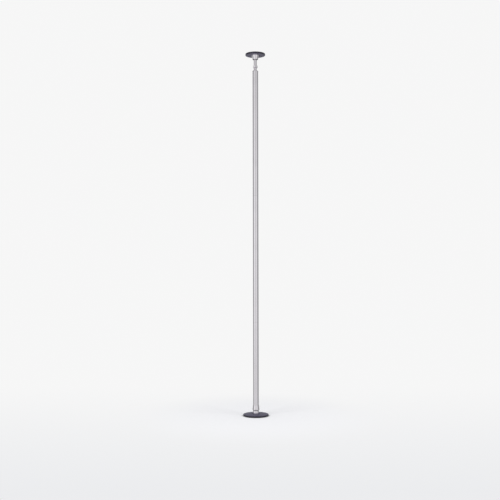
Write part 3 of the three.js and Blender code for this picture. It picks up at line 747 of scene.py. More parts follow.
def cage_tree():
    """Balls round a circle in a band with a pocket for each."""
    tree, given = geometry_tree("Ball Cage", {
        "Ball Radius": "Float", "Circle Radius": "Float", "Balls": "Int", "Level": "Float", "Band": "Float",
        "Band Height": "Float", "Pocket Clearance": "Float", "Rings": "Int", "Sides": "Int",
        "Ball Material": "Material", "Band Material": "Material",
    })
    ball, circle, count, level, width, height, clearance, rings, sides, ball_material, band_material = given
    middles = put(tree, "GeometryNodeMeshCircle", {"Vertices": count, "Radius": circle})
    balls = []
    for reach in (ball, ball + clearance):
        sphere = put(tree, "GeometryNodeMeshUVSphere", {"Segments": rings * 2, "Rings": rings, "Radius": reach})
        each = put(tree, "GeometryNodeInstanceOnPoints", {"Points": middles, "Instance": sphere})
        balls.append(put(tree, "GeometryNodeRealizeInstances", {"Geometry": each}))
    flat = put(tree, "GeometryNodeCurvePrimitiveQuadrilateral", {"Width": width, "Height": height})
    section = put(tree, "GeometryNodeFilletCurve", {
        "Curve": flat, "Radius": width * 0.2, "Count": 3,
    }, mode="POLY")
    loop = put(tree, "GeometryNodeCurvePrimitiveCircle", {"Resolution": sides, "Radius": circle})
    band = put(tree, "GeometryNodeCurveToMesh", {"Curve": loop, "Profile Curve": section})
    pockets = put(tree, "GeometryNodeMeshBoolean", {"Mesh 1": band, "Mesh 2": balls[1]},
                  operation="DIFFERENCE", solver="EXACT")
    marked = put(tree, "GeometryNodeStoreNamedAttribute", {
        "Geometry": balls[0], "Name": "ball", "Value": True,
    }, data_type="BOOLEAN", domain="FACE")
    both = tree.nodes.new("GeometryNodeJoinGeometry")
    for part in (pockets, marked):
        feed(tree, both, {0: part})
    lift = put(tree, "ShaderNodeCombineXYZ", {2: level})
    raised = put(tree, "GeometryNodeTransform", {"Geometry": Value(tree, both.outputs[0]), "Translation": lift})
    real = put(tree, "GeometryNodeRealizeInstances", {"Geometry": raised})
    banded = put(tree, "GeometryNodeSetMaterial", {"Geometry": real, "Material": band_material})
    is_ball = put(tree, "GeometryNodeInputNamedAttribute", {"Name": "ball"}, data_type="BOOLEAN")
    painted = put(tree, "GeometryNodeSetMaterial", {
        "Geometry": banded, "Selection": is_ball, "Material": ball_material,
    })
    feed(tree, tree.nodes.new("NodeGroupOutput"), {0: painted})
    return tree


# Finishes

class Finish:
    """A material in the making: its tree, its shader, and the place on the piece that its patterns read."""

    def __init__(self, name, colour, metallic, roughness):
        self.material = bpy.data.materials.new(name)
        self.material.use_nodes = True
        self.tree = self.material.node_tree
        self.colour = tuple(colour)
        self.place = put(self.tree, "ShaderNodeTexCoord", out="Object")
        self.feed({"Base Color": opaque(colour), "Metallic": metallic, "Roughness": roughness})

    def feed(self, inputs):
        """Gives the shader's inputs their values or their links."""
        feed(self.tree, self.tree.nodes["Principled BSDF"], inputs)

    def pattern(self, scale, stretch=(1, 1, 1), detail=3.0, rough=0.5):
        """A cloudy pattern; a scale of 1000 makes features of about a millimetre."""
        mapped = put(self.tree, "ShaderNodeMapping", {"Vector": self.place, "Scale": stretch})
        return put(self.tree, "ShaderNodeTexNoise", {
            "Vector": mapped, "Scale": scale, "Detail": detail, "Roughness": rough,
        }, "Fac")

    def attribute(self, name):
        """A value that the mesh keeps for each point."""
        return put(self.tree, "ShaderNodeAttribute", out="Fac", attribute_name=name)

    def shade(self, share):
        """The finish's colour made lighter or darker."""
        return opaque(min(1.0, channel * share) for channel in self.colour)

    def tint(self, share, other, first=None):
        """Mixes another colour into the finish's own, or into a first one."""
        self.feed({"Base Color": blend(self.tree, share, first or opaque(self.colour), other)})

    def emboss(self, *reliefs):
        """Feeds the shader's normal with reliefs, each (height pattern, depth in metres)."""
        last = {}
        for height, depth in reliefs:
            last = {"Normal": put(self.tree, "ShaderNodeBump", {
                "Height": height, "Distance": depth, "Strength": 1.0, **last,
            })}
        self.feed(last)


def chrome_finish():
    """Bright chrome plate: fine polishing lines round the piece, hand marks and a faint haze, with painted shade
    inside bores and mouths.
    """
    settings = bpy.context.scene.dance_pole_finishes
    rough = settings.chrome_roughness
    coat = Finish("chrome_plate", settings.chrome, 1.0, rough)
    haze = coat.pattern(9, detail=6, rough=0.6)
    hands = coat.pattern(45, (1, 1, 0.4), detail=5)
    lines = coat.pattern(60, (1, 1, 60), detail=2)
    inside = coat.attribute("inside")
    hand_blur, inside_blur = 0.06, 0.35
    haze_shade, inside_painted_shade = 0.94, 0.3
    marks = hands.carried(0.52, 0.72, 0, 1) * haze.carried(0.4, 0.6, 0, 1)
    blur = haze.carried(0.3, 0.7, rough * 0.8, rough * 1.25) + marks * hand_blur
    coat.feed({"Roughness": blur + inside * inside_blur})
    pale = blend(coat.tree, haze.carried(0.35, 0.65, 0, 1), opaque(coat.colour), coat.shade(haze_shade))
    # painted shade: points marked inside take a much darker colour, standing in for the shade in bores, seams and
    # the cup's mouth
    coat.tint(inside, coat.shade(inside_painted_shade), pale)
    coat.emboss((lines, 0.0000012), (haze, 0.00002))
    return coat.material


def paint_finish():
    """Satin charcoal coat with painted shade on the rim: slight orange peel, dust, and wear to grey primer along
    the edges.
    """
    coat = Finish("charcoal_coat", bpy.context.scene.dance_pole_finishes.paint, 0.0, 0.3)
    peel = coat.pattern(420, detail=2)
    dust = coat.pattern(30, detail=8, rough=0.65)
    chips = coat.pattern(260, detail=6, rough=0.7)
    worn = chips.carried(0.56, 0.64, 0, 0.5) * coat.attribute("edge")
    soft = dust.carried(0.35, 0.75, 0, 0.12)
    # painted shade: points marked rim take a colour a fifth as bright, standing in for the shade on the plate's
    # side
    face = blend(coat.tree, coat.attribute("rim"), opaque(coat.colour), coat.shade(0.2))
    coat.tint(worn.math("MAXIMUM", soft), coat.shade(3), face)
    coat.emboss((peel, 0.00001), (chips, 0.000002))
    coat.feed({
        "Roughness": dust.carried(0.3, 0.75, 0.3, 0.42),
        "Coat Weight": 0.3, "Coat Roughness": 0.12, "Coat Tint": (0.55, 0.5, 1.0, 1.0),
    })
    return coat.material


def rubber_finish():
    """Matt black rubber with a fine moulded grain and a dusty bloom."""
    coat = Finish("black_rubber", bpy.context.scene.dance_pole_finishes.rubber, 0.0, 0.85)
    grain = coat.pattern(1500, detail=3)
    bloom = coat.pattern(40, detail=7, rough=0.6)
    coat.tint(bloom.carried(0.45, 0.75, 0, 1), coat.shade(1.8))
    coat.feed({"Roughness": bloom.carried(0.3, 0.7, 0.72, 0.92)})
    coat.emboss((grain, 0.00012))
    return coat.material


def machined_finish(name, colour, roughness, line_depth, stain_shade):
    """Bare metal off a lathe: fine tool lines round the piece, and light staining."""
    coat = Finish(name, colour, 1.0, roughness)
    lines = coat.pattern(120, (1, 1, 45), detail=3)
    stain = coat.pattern(55, detail=7, rough=0.6)
    coat.tint(stain.carried(0.45, 0.72, 0, 1), coat.shade(stain_shade))
    coat.feed({"Roughness": stain.carried(0.3, 0.7, roughness * 0.85, roughness * 1.25)})
    coat.emboss((lines, line_depth))
    return coat.material


def black_steel_finish():
    """Black oxide on steel: blue-black, satin, rubbed brighter along the edges."""
    coat = Finish("black_oxide", (0.035, 0.036, 0.042), 0.85, 0.42)
    rub = coat.pattern(700, detail=5, rough=0.65)
    coat.tint(rub.carried(0.45, 0.62, 0, 0.7) * coat.attribute("edge"), (0.3, 0.3, 0.31, 1.0))
    coat.feed({"Roughness": rub.carried(0.3, 0.7, 0.34, 0.52)})
    coat.emboss((rub, 0.000015))
    return coat.material


def bronze_finish():
    """Sintered bronze with its open pores and a film of oil."""
    coat = Finish("sintered_bronze", (0.45, 0.29, 0.13), 1.0, 0.42)
    pores = coat.pattern(2200, detail=2)
    stain = coat.pattern(80, detail=6)
    coat.tint(stain.carried(0.45, 0.7, 0, 1), coat.shade(0.55))
    coat.feed({"Roughness": pores.carried(0.4, 0.65, 0.36, 0.6)})
    coat.emboss((pores.carried(0.35, 0.45, 0, 1), 0.00004))
    return coat.material


def nylon_finish():
    """Natural nylon: warm white, waxy, with faint tool lines."""
    coat = Finish("natural_nylon", (0.78, 0.75, 0.67), 0.0, 0.48)
    lines = coat.pattern(110, (1, 1, 30), detail=2)
    warm = coat.pattern(60, detail=5)
    coat.tint(warm.carried(0.4, 0.7, 0, 0.6), (0.72, 0.66, 0.53, 1.0))
    coat.emboss((lines, 0.00001))
    coat.feed({
        "Roughness": lines.carried(0.3, 0.7, 0.42, 0.56), "Subsurface Weight": 0.15, "Subsurface Scale": 0.002,
    })
    return coat.material


FINISH_MAKERS = {
    "chrome": chrome_finish,
    "black_paint": paint_finish,
    "rubber": rubber_finish,
    "machined_steel": lambda: machined_finish("machined_steel", (0.53, 0.53, 0.55), 0.32, 0.000012, 0.7),
    "bearing_steel": lambda: machined_finish("ground_bearing_steel", (0.64, 0.64, 0.66), 0.16, 0.000002, 0.9),
    "cage_brass": lambda: machined_finish("cage_brass", (0.62, 0.44, 0.17), 0.3, 0.000008, 0.75),
    "bronze": bronze_finish,
    "aluminium": lambda: machined_finish("machined_aluminium", (0.68, 0.69, 0.70), 0.36, 0.00001, 0.85),
    "black_steel": black_steel_finish,
    "nylon": nylon_finish,
}
FINISHES = {}


def finish(slot):
    """The material of a finish, made once."""
    if slot not in FINISHES:
        FINISHES[slot] = FINISH_MAKERS[slot]()
    return FINISHES[slot]


# Screws and pins, made from height zero up

def hexed(corners, sides, across, hex_rows):
    """The skin along an outline, with some of its rows on a hexagon."""
    flat = hexagon(across, sides)
    return skin([
        ring(flat if index in hex_rows else reach, height, sides)
        for index, (reach, height) in enumerate(corners)
    ])


def thread_sizes(diameter):
    """Sides, pitch, outer radius and inner radius of a metric screw."""
    pitch = COARSE_PITCH[round(diameter / MM)] * MM
    return sizes().screw_sides, pitch, diameter / 2, diameter / 2 - pitch * THREAD_DEPTH_SHARE


def socket_screw(length, diameter):
    """A headless threaded screw: cup point at the foot, hex socket in the top."""
    sides, pitch, outside, minor = thread_sizes(diameter)
    cup = minor * 0.62
    start = minor * 0.14
    land = 0.1 * MM
    across = diameter * 0.5
    depth = length * 0.4
    rim = across / math.sqrt(3) * 1.06
    point = [(0.0, cup * 0.5), (cup, 0.02 * MM), (minor * 0.86, 0.0), (minor, start)]
    head = [
        (minor, length - land), (minor - land, length), (rim, length), (across / 2, length - rim * 0.18),
        (across / 2, length - depth), (0.0, length - depth - across * 0.2),
    ]
    turns = thread(minor, outside, pitch, start, length - land, sides, finish("black_steel"))
    return welded(turns, open_turned(point, sides), hexed(head, sides, across, {3, 4}))


def countersunk_screw(length, diameter, head_radius, head_height):
    """A countersunk screw: its head's flat face at zero with a hex socket, its point above."""
    sides, pitch, outside, minor = thread_sizes(diameter)
    across = head_radius * 0.72
    depth = head_height * 0.75
    rim = across / math.sqrt(3) * 1.05
    start = head_height + pitch * 1.5
    end = length - 0.6 * pitch
    land = 0.03 * head_radius
    head = [
        (0.0, depth + across * 0.12), (across / 2, depth), (across / 2, rim * 0.12), (rim, 0.0),
        (head_radius - land, 0.0), (head_radius, land), (outside, head_height),
        (outside, start - pitch * THREAD_DEPTH_SHARE), (minor, start),
    ]
    turns = thread(minor, outside, pitch, start, end, sides, finish("black_steel"))
    point = [(minor, end), (minor * 0.8, length), (0.0, length)]
    return welded(turns, hexed(head, sides, across, {1, 2}), open_turned(point, sides))


def dowel(length, reach):
    """A pin with both ends eased."""
    ease = reach * 0.35
    return turned([(0, 0), (reach, 0, ease), (reach, length, ease), (0, length)], sizes().screw_sides)


class PoleOperator:
    """What the operators of the pole share."""

    bl_options = {"REGISTER", "UNDO"}

    def execute(self, context):
        """Makes the pieces."""
        self.make(context.scene.dance_pole_sizes)
        return {"FINISHED"}


class DANCEPOLE_OT_pads(PoleOperator, bpy.types.Operator):
    """Rubber pads under the floor plate and over the ceiling plate"""

    bl_idname = "dance_pole.pads"
    bl_label = "Pads"

    def make(self, size):
        """Both pads, with V grooves in the face that grips."""
        width = 2.4 * MM
        depth = 1.0 * MM
        spread = 0.92  # how far out the last groove lies, of the pad's radius
        for node, place in (
            ("floor_pad", shift(0, 0, foot("floor_pad"))),
            ("ceiling_pad", shift(0, 0, top("ceiling_pad")) @ UPSIDE_DOWN),
        ):
            reach = radius(node)
            thick = top(node) - foot(node)
            corners = [(0.0, 0.0)]
            for index in range(1, size.pad_grooves + 1):
                groove = reach * spread * index / size.pad_grooves
                corners += [(groove - width / 2, 0.0, 0.3 * MM), (groove, depth)]
                corners.append((groove + width / 2, 0.0, 0.3 * MM))
            corners += [(reach, 0.0, 0.8 * MM), (reach, thick, 0.5 * MM), (0.0, thick)]
            dress(moved(turned(corners), place), node)


class DANCEPOLE_OT_base_plate(PoleOperator, bpy.types.Operator):
    """Domed floor plate"""

    bl_idname = "dance_pole.base_plate"
    bl_label = "Floor plate"

    def make(self, size):
        """A shallow dome with a rounded rim, a recess round the hub and a countersink below."""
        node = "base_plate"
        level, reach = foot(node), radius(node)
        crown = top(node) - level
        seat = foot("base_hub") - level
        side, rim, recess = 5 * MM, 3 * MM, 31 * MM
        hole = HUB_BOLT / 2 + size.fit
        fullness = 1.6  # how early the dome rises from its rim
        dome = []
        steps = 20
        for step in range(1, steps):
            share = step / steps
            rise = (crown - side - rim) * (1 - (1 - share) ** fullness)
            dome.append((reach - rim + (recess - reach + rim) * share, side + rim + rise))
        corners = [
            (radius("hub_bolt") + size.fit, 0.0), (reach, 0.0, 0.8 * MM),
            *arc((reach - rim, side), rim, 0, math.pi / 2), *dome, (recess, crown, 0.5 * MM),
            (recess, seat, 0.6 * MM), (hole, seat, 0.3 * MM), (hole, HUB_HEAD),
        ]
        mesh = turned(lifted(corners, level))
        # painted shade: the rounded rim and side are marked, and the paint finish darkens them
        mark(mesh, "rim", lambda out, up: out > reach - rim - WELD)
        dress(mesh, node)


class DANCEPOLE_OT_hub(PoleOperator, bpy.types.Operator):
    """Chrome hub that carries the thrust bearing"""

    bl_idname = "dance_pole.hub"
    bl_label = "Hub"

    def make(self, size):
        """A turned cup, a little wider at its rounded foot."""
        node = "base_hub"
        level, reach = foot(node), radius(node)
        shoulder = radius("lower_tube") + 0.5 * MM
        height = top(node) - level
        race = radius("thrust_race_lower") + size.fit
        seat = foot("thrust_race_lower") - level
        bore = SHAFT + size.fit
        collar = 16 * MM + size.fit
        collar_foot = seat - 3.8 * MM
        round_foot = 2.5 * MM
        corners = [
            (bore, 0.0, 0.3 * MM), *arc((reach - round_foot, round_foot), round_foot, -math.pi / 2, 0),
            (shoulder, height, 0.9 * MM), (race, height, 0.3 * MM), (race, seat), (collar, seat, 0.2 * MM),
            (collar, collar_foot), (bore, collar_foot, 0.2 * MM),
        ]
        dress(turned(lifted(corners, level)), node)


class DANCEPOLE_OT_spindle(PoleOperator, bpy.types.Operator):
    """Steel spindle with its bolt"""

    bl_idname = "dance_pole.spindle"
    bl_label = "Spindle"

    def make(self, size):
        """The shouldered spindle and the countersunk bolt below it."""
        node = "base_spindle"
        level, end = foot(node), top(node)
        collar = radius(node)
        collar_top = foot("thrust_race_lower") - size.fit
        collar_foot = collar_top - 3.5 * MM
        shoulder = foot("foot_bearing_inner_ring")
        hole = HUB_BOLT / 2 + size.fit
        depth = 21 * MM
        ease = size.edge
        corners = [
            (0.0, level + depth + hole * 0.5), (hole, level + depth), (hole, level, ease),
            (SHAFT, level, 0.8 * MM), (SHAFT, collar_foot), (collar, collar_foot, ease),
            (collar, collar_top, ease), (SHAFT, collar_top), (SHAFT, shoulder, ease), (FOOT_JOURNAL, shoulder),
            *ring_groove(FOOT_JOURNAL, foot("spindle_retaining_ring")), (FOOT_JOURNAL, end, 0.8 * MM), (0.0, end),
        ]
        dress(turned(corners), node)
        bolt = "hub_bolt"
        mesh = countersunk_screw(top(bolt) - foot(bolt), HUB_BOLT, radius(bolt), HUB_HEAD)
        dress(moved(mesh, shift(0, 0, foot(bolt))), bolt)


def retaining_ring(node, shaft):
    """An open spring ring with an eye at each end, cut flat from sheet and eased all round."""
    inside = shaft - 0.6 * MM
    outside = inside + 2.6 * MM
    eye, hole = 1.9 * MM, 0.8 * MM
    gap = math.radians(25)
    lug = (inside + outside) / 2 + 0.9 * MM
    begin = gap + math.asin(eye / lug)
    end = 2 * math.pi - begin
    steps, hidden = 48, 3  # faces along the ring, and how many of them the eyes hide
    eye_steps, hole_steps = 12, 16  # faces round an eye, and round its hole
    axis = (0.0, 0.0)
    first, last = ((lug * math.cos(angle), lug * math.sin(angle)) for angle in (begin, end))
    past_half = math.pi * 1.05  # how far an eye's rounding goes
    outline = [
        *arc(axis, inside, end, begin, steps),
        *arc(first, eye, begin + math.pi, begin + math.pi + past_half, eye_steps),
        *arc(axis, outside, begin, end, steps)[hidden:-hidden],
        *arc(last, eye, end + math.pi - past_half, end + math.pi, eye_steps),
    ]
    last_step = hole_steps - 1  # the outline closes on its first point
    holes = [arc(centre, hole, 0, 2 * math.pi * last_step / hole_steps, last_step) for centre in (first, last)]
    return flat_sheet([outline, *holes], foot(node), top(node), 0.12 * MM)


def flat_sheet(rings, low, high, ease):
    """A flat piece with holes, given by closed outlines, between two levels."""
    curve = bpy.data.curves.new("sheet", "CURVE")
    curve.dimensions = "2D"
    curve.fill_mode = "BOTH"
    curve.extrude = (high - low) / 2 - ease
    curve.bevel_depth = ease
    curve.bevel_resolution = 1
    curve.offset = -ease
    for points in rings:
        spline = curve.splines.new("POLY")
        spline.points.add(len(points) - 1)
        spline.use_cyclic_u = True
        for point, place in zip(spline.points, points):
            point.co = (*place, 0.0, 1.0)
    return moved(welded(evaluated(shown("sheet", curve))), shift(0, 0, (low + high) / 2))


class DANCEPOLE_OT_retaining_rings(PoleOperator, bpy.types.Operator):
    """Retaining rings of the spindle and the jack rod"""

    bl_idname = "dance_pole.retaining_rings"
    bl_label = "Retaining rings"

    def make(self, size):
        """One ring for each grooved shaft."""
        for name, shaft in (("spindle", FOOT_JOURNAL), ("guide", GUIDE_JOURNAL), ("rod", HEAD_JOURNAL)):
            node = f"{name}_retaining_ring"
            dress(retaining_ring(node, shaft), node)


class DANCEPOLE_OT_ball_bearings(PoleOperator, bpy.types.Operator):
    """Thrust bearing and the two ball bearings"""

    bl_idname = "dance_pole.ball_bearings"
    bl_label = "Bearings"

    def make(self, size):
        """Races, rings, and the caged balls between them."""
        self.thrust(size)
        self.radial("foot", FOOT_JOURNAL, size, size.foot_balls)
        self.radial("ceiling", HEAD_JOURNAL, size, size.ceiling_balls)

    def thrust(self, size):
        """Two flat races and their ball cage."""
        ball = 3 * MM
        circle = 16.9 * MM
        cage = "thrust_ball_cage"
        level = middle(cage)
        groove = ball + size.fit
        ease = size.edge
        for node, sign in (("thrust_race_lower", -1), ("thrust_race_upper", 1)):
            reach = radius(node)
            back, face = (foot(node), top(node))[::-sign]
            turn = math.acos(min(1.0, abs(level - face) / groove))
            centre = ((RACE_BORE + reach) / 2, level)
            corners = [
                (RACE_BORE, back, ease), (reach, back, ease), (reach, face, ease),
                *arc(centre, groove, sign * (math.pi / 2 + turn), sign * (math.pi / 2 - turn)),
                (RACE_BORE, face, ease),
            ]
            dress(turned(corners[::-sign]), node)
        inset = (radius("thrust_race_lower") - RACE_BORE) * 0.12
        band, band_height = 8.2 * MM - 2 * inset, 1.6 * MM
        self.cage(cage, ball, circle, size.thrust_balls, level, band, band_height)

    def radial(self, place, journal, size, count):
        """Inner ring, outer ring and cage of one ball bearing."""
        inner, outer = f"{place}_bearing_inner_ring", f"{place}_bearing_outer_ring"
        bore, reach = journal + size.fit, radius(outer)
        low, high = foot(inner), top(inner)
        space = reach - bore
        ball = space * 0.27
        centre = ((bore + reach) / 2, (low + high) / 2)
        groove = ball + size.fit
        wall = space * 0.28  # thickness of each ring
        ease = size.edge
        turn = math.acos(min(1.0, (space / 2 - wall) / groove))
        dress(turned([
            (bore, low, ease), (bore + wall, low, ease), *arc(centre, groove, math.pi + turn, math.pi - turn),
            (bore + wall, high, ease), (bore, high, ease),
        ]), inner)
        dress(turned([
            (reach - wall, low, ease), (reach, low, ease), (reach, high, ease), (reach - wall, high, ease),
            *arc(centre, groove, turn, -turn),
        ]), outer)
        band, band_height = ball * 0.45, ball * 1.5
        self.cage(f"{place}_bearing_ball_cage", ball, centre[0], count, centre[1], band, band_height)

    def cage(self, node, ball, circle, count, level, band, band_height):
        """Balls in the pockets of their band."""
        mesh = grown(bpy.data.node_groups.get("Ball Cage") or cage_tree(), {
            "Ball Radius": ball, "Circle Radius": circle, "Balls": count, "Level": level, "Band": band,
            "Band Height": band_height, "Pocket Clearance": POCKET_CLEARANCE, "Rings": BALL_RINGS,
            "Sides": BAND_SIDES,
            "Ball Material": finish("bearing_steel"), "Band Material": finish("cage_brass"),
        })
        dress(mesh, node, painted=True)


class DANCEPOLE_OT_skirt(PoleOperator, bpy.types.Operator):
    """Flared chrome skirt with its two lock screws"""

    bl_idname = "dance_pole.skirt"
    bl_label = "Skirt"

    def make(self, size):
        """A bell that flares from the tube to the running gap."""
        node = "bottom_skirt"
        level, reach = foot(node), radius(node)
        height = top(node) - level
        race = radius("thrust_race_upper") + size.fit
        bore = radius("lower_tube") + size.fit
        lip = bore + 0.6 * MM
        side = 9 * MM
        ledge = foot("lower_tube") - level
        seat = top("thrust_race_upper") - level
        corner = (lip + (reach - lip) * 0.8, side + (height - side) * 0.3)
        corners = [
            (race, 0.0, 0.2 * MM), (reach, 0.0, 0.9 * MM), *lean((reach, side), corner, (lip, height)),
            (bore, height), (bore, ledge), (SHAFT_CLEAR, ledge, 0.2 * MM), (SHAFT_CLEAR, seat, 0.2 * MM),
            (race, seat),
        ]
        holes = holes_at("lock_screw_right", (RIGHT, LEFT), LOCK_SCREW / 2 + size.fit, 0.5 * MM)
        dress(turned(lifted(corners, level), holes=holes), node)
        set_across("lock_screw_right", RIGHT, socket_screw, LOCK_SCREW)
        set_across("lock_screw_left", LEFT, socket_screw, LOCK_SCREW)


class DANCEPOLE_OT_housing(PoleOperator, bpy.types.Operator):
    """Bearing housing, bush and pins in the tube's foot"""

    bl_idname = "dance_pole.housing"
    bl_label = "Bearing housing"

    def make(self, size):
        """A stepped sleeve with cross holes, the bronze bush in it and the pins that hold it."""
        node = "bearing_housing"
        level, end, reach = foot(node), top(node), radius(node)
        bearing = radius("foot_bearing_outer_ring") + size.fit
        bearing_seat = foot("foot_bearing_outer_ring")
        outer = radius("spindle_bush")
        bush = outer + size.fit
        low, high = foot("spindle_bush"), top("spindle_bush")
        ease = size.edge
        dress(turned([
            (SHAFT_CLEAR, level, ease), (reach, level, ease), (reach, end, ease), (bearing, end, ease),
            (bearing, bearing_seat), (bush, bearing_seat, ease), (bush, low), (SHAFT_CLEAR, low, ease),
        ], holes=foot_holes(size)), node)
        inner = SHAFT + size.fit
        groove = 0.5 * MM
        half = middle("spindle_bush")
        dress(turned([
            (inner, low, 0.6 * MM), (outer, low, 0.6 * MM), (outer, high, 0.6 * MM), (inner, high, 0.6 * MM),
            (inner, half + 2 * groove, 0.1 * MM), (inner + groove, half + groove, 0.2 * MM),
            (inner + groove, half - groove, 0.2 * MM), (inner, half - 2 * groove, 0.1 * MM),
        ]), "spindle_bush")
        set_across("foot_pin_back", BACK, dowel, FOOT_PIN)
        set_across("foot_pin_front", FRONT, dowel, FOOT_PIN)


class DANCEPOLE_OT_tubes(PoleOperator, bpy.types.Operator):
    """Three chrome tubes with their key holes"""

    bl_idname = "dance_pole.tubes"
    bl_label = "Tubes"

    def make(self, size):
        """Each tube, with eased ends that meet at a fine seam, made darker by painted shade in the bore."""
        lower, middle_low, middle_high, upper = (
            holes_at(f"{name}_joint_screw_{end}", [BACK], KEY_HOLE, 0.35 * MM)
            for name in ("lower", "upper") for end in ("lower", "upper")
        )
        upper += holes_at("bush_screw_right", (RIGHT, LEFT), BUSH_SCREW / 2 + size.fit, 0.3 * MM)
        for node, holes in (
            ("lower_tube", foot_holes(size) + lower), ("middle_tube", middle_low + middle_high),
            ("upper_tube", upper),
        ):
            low, high, reach = foot(node), top(node), radius(node)
            bore = reach - size.tube_wall
            mesh = turned([
                (bore, low, 0.3 * MM), (reach, low, 0.4 * MM), (reach, high, 0.4 * MM), (bore, high, 0.3 * MM),
            ], holes=holes)
            # painted shade: the bore and the inner part of the eased ends are darkened by the chrome finish
            mark(mesh, "inside", lambda out, up: out < reach - WELD)
            dress(mesh, node)


def half_bar(reach, low, high, split):
    """The back half of a split round bar with a lead-in at each end."""
    lead = 2 * MM
    round_steps, flat_steps = 48, 12
    flat = split / 2
    rings = []
    for share, height in ((1, low), (0, low + lead), (0, high - lead), (1, high)):
        here = reach - lead * share
        edge_angle = math.asin(flat / here)
        points = arc((0.0, 0.0), here, edge_angle, math.pi - edge_angle, round_steps)
        across = points[-1][0]
        width = points[0][0] - across
        points += [(across + width * step / flat_steps, flat) for step in range(1, flat_steps)]
        rings.append([(x, y, height) for x, y in points])
    mesh = skin(rings)
    made = bmesh.new()
    made.from_mesh(mesh)
    bmesh.ops.holes_fill(made, edges=[edge for edge in made.edges if edge.is_boundary])
    bmesh.ops.recalc_face_normals(made, faces=made.faces)
    made.to_mesh(mesh)
    made.free()
    return mesh


class DANCEPOLE_OT_expanders(PoleOperator, bpy.types.Operator):
    """Expanding joints across the seams"""

    bl_idname = "dance_pole.expanders"
    bl_label = "Expanding joints"

    def make(self, size):
        """Two half bars and two spreading screws for each joint."""
        split = 3 * MM
        reach = radius("lower_tube") - size.tube_wall - size.fit
        bore = JOINT_SCREW / 2 + size.fit
        for joint in ("lower_joint", "upper_joint"):
            front, back = f"{joint}_half_front", f"{joint}_half_back"
            shape = (reach, foot(front), top(front), split)
            dress(moved(half_bar(*shape), Matrix.Rotation(math.pi, 4, "Z")), front)
            bits = []
            for name in (f"{joint}_screw_lower", f"{joint}_screw_upper"):
                bits.append(moved(drill_bit(bore, reach + 2 * MM), outwards(BACK, 0, middle(name))))
                set_across(name, BACK, socket_screw, JOINT_SCREW)
            dress(cut(half_bar(*shape), *bits), back)


class DANCEPOLE_OT_jack_bush(PoleOperator, bpy.types.Operator):
    """Threaded bush in the top of the tube"""

    bl_idname = "dance_pole.jack_bush"
    bl_label = "Jack bush"

    def make(self, size):
        """A sleeve with a rim, a collar and the jack's thread inside, held by two screws."""
        node = "jack_bush"
        low, high, rim = foot(node), top(node), radius(node)
        rim_foot = top("upper_tube")
        rim_top = rim_foot + 3 * MM
        collar = 18.5 * MM
        reach = radius("upper_tube") - size.tube_wall - size.fit
        play = size.fit / 2
        major = radius("jack_rod") + play
        turns = thread(major - size.jack_depth, major, size.jack_pitch, low, high, size.sides,
                       finish(SLOTS[node]), True, JACK_FLATS)
        shell = open_turned([
            (major, low), (reach, low, 0.6 * MM), (reach, rim_foot), (rim, rim_foot, 0.3 * MM),
            (rim, rim_top, 1.1 * MM), (collar, rim_top, 0.3 * MM), (collar, high, 0.9 * MM), (major, high),
        ], size.sides)
        level = middle("bush_screw_right")
        bits = [
            moved(drill_bit(BUSH_SCREW / 2 + size.fit, rim), outwards(angle, 0, level)) for angle in (RIGHT, LEFT)
        ]
        dress(cut(welded(turns, shell), *bits), node)
        set_across("bush_screw_right", RIGHT, socket_screw, BUSH_SCREW)
        set_across("bush_screw_left", LEFT, socket_screw, BUSH_SCREW)


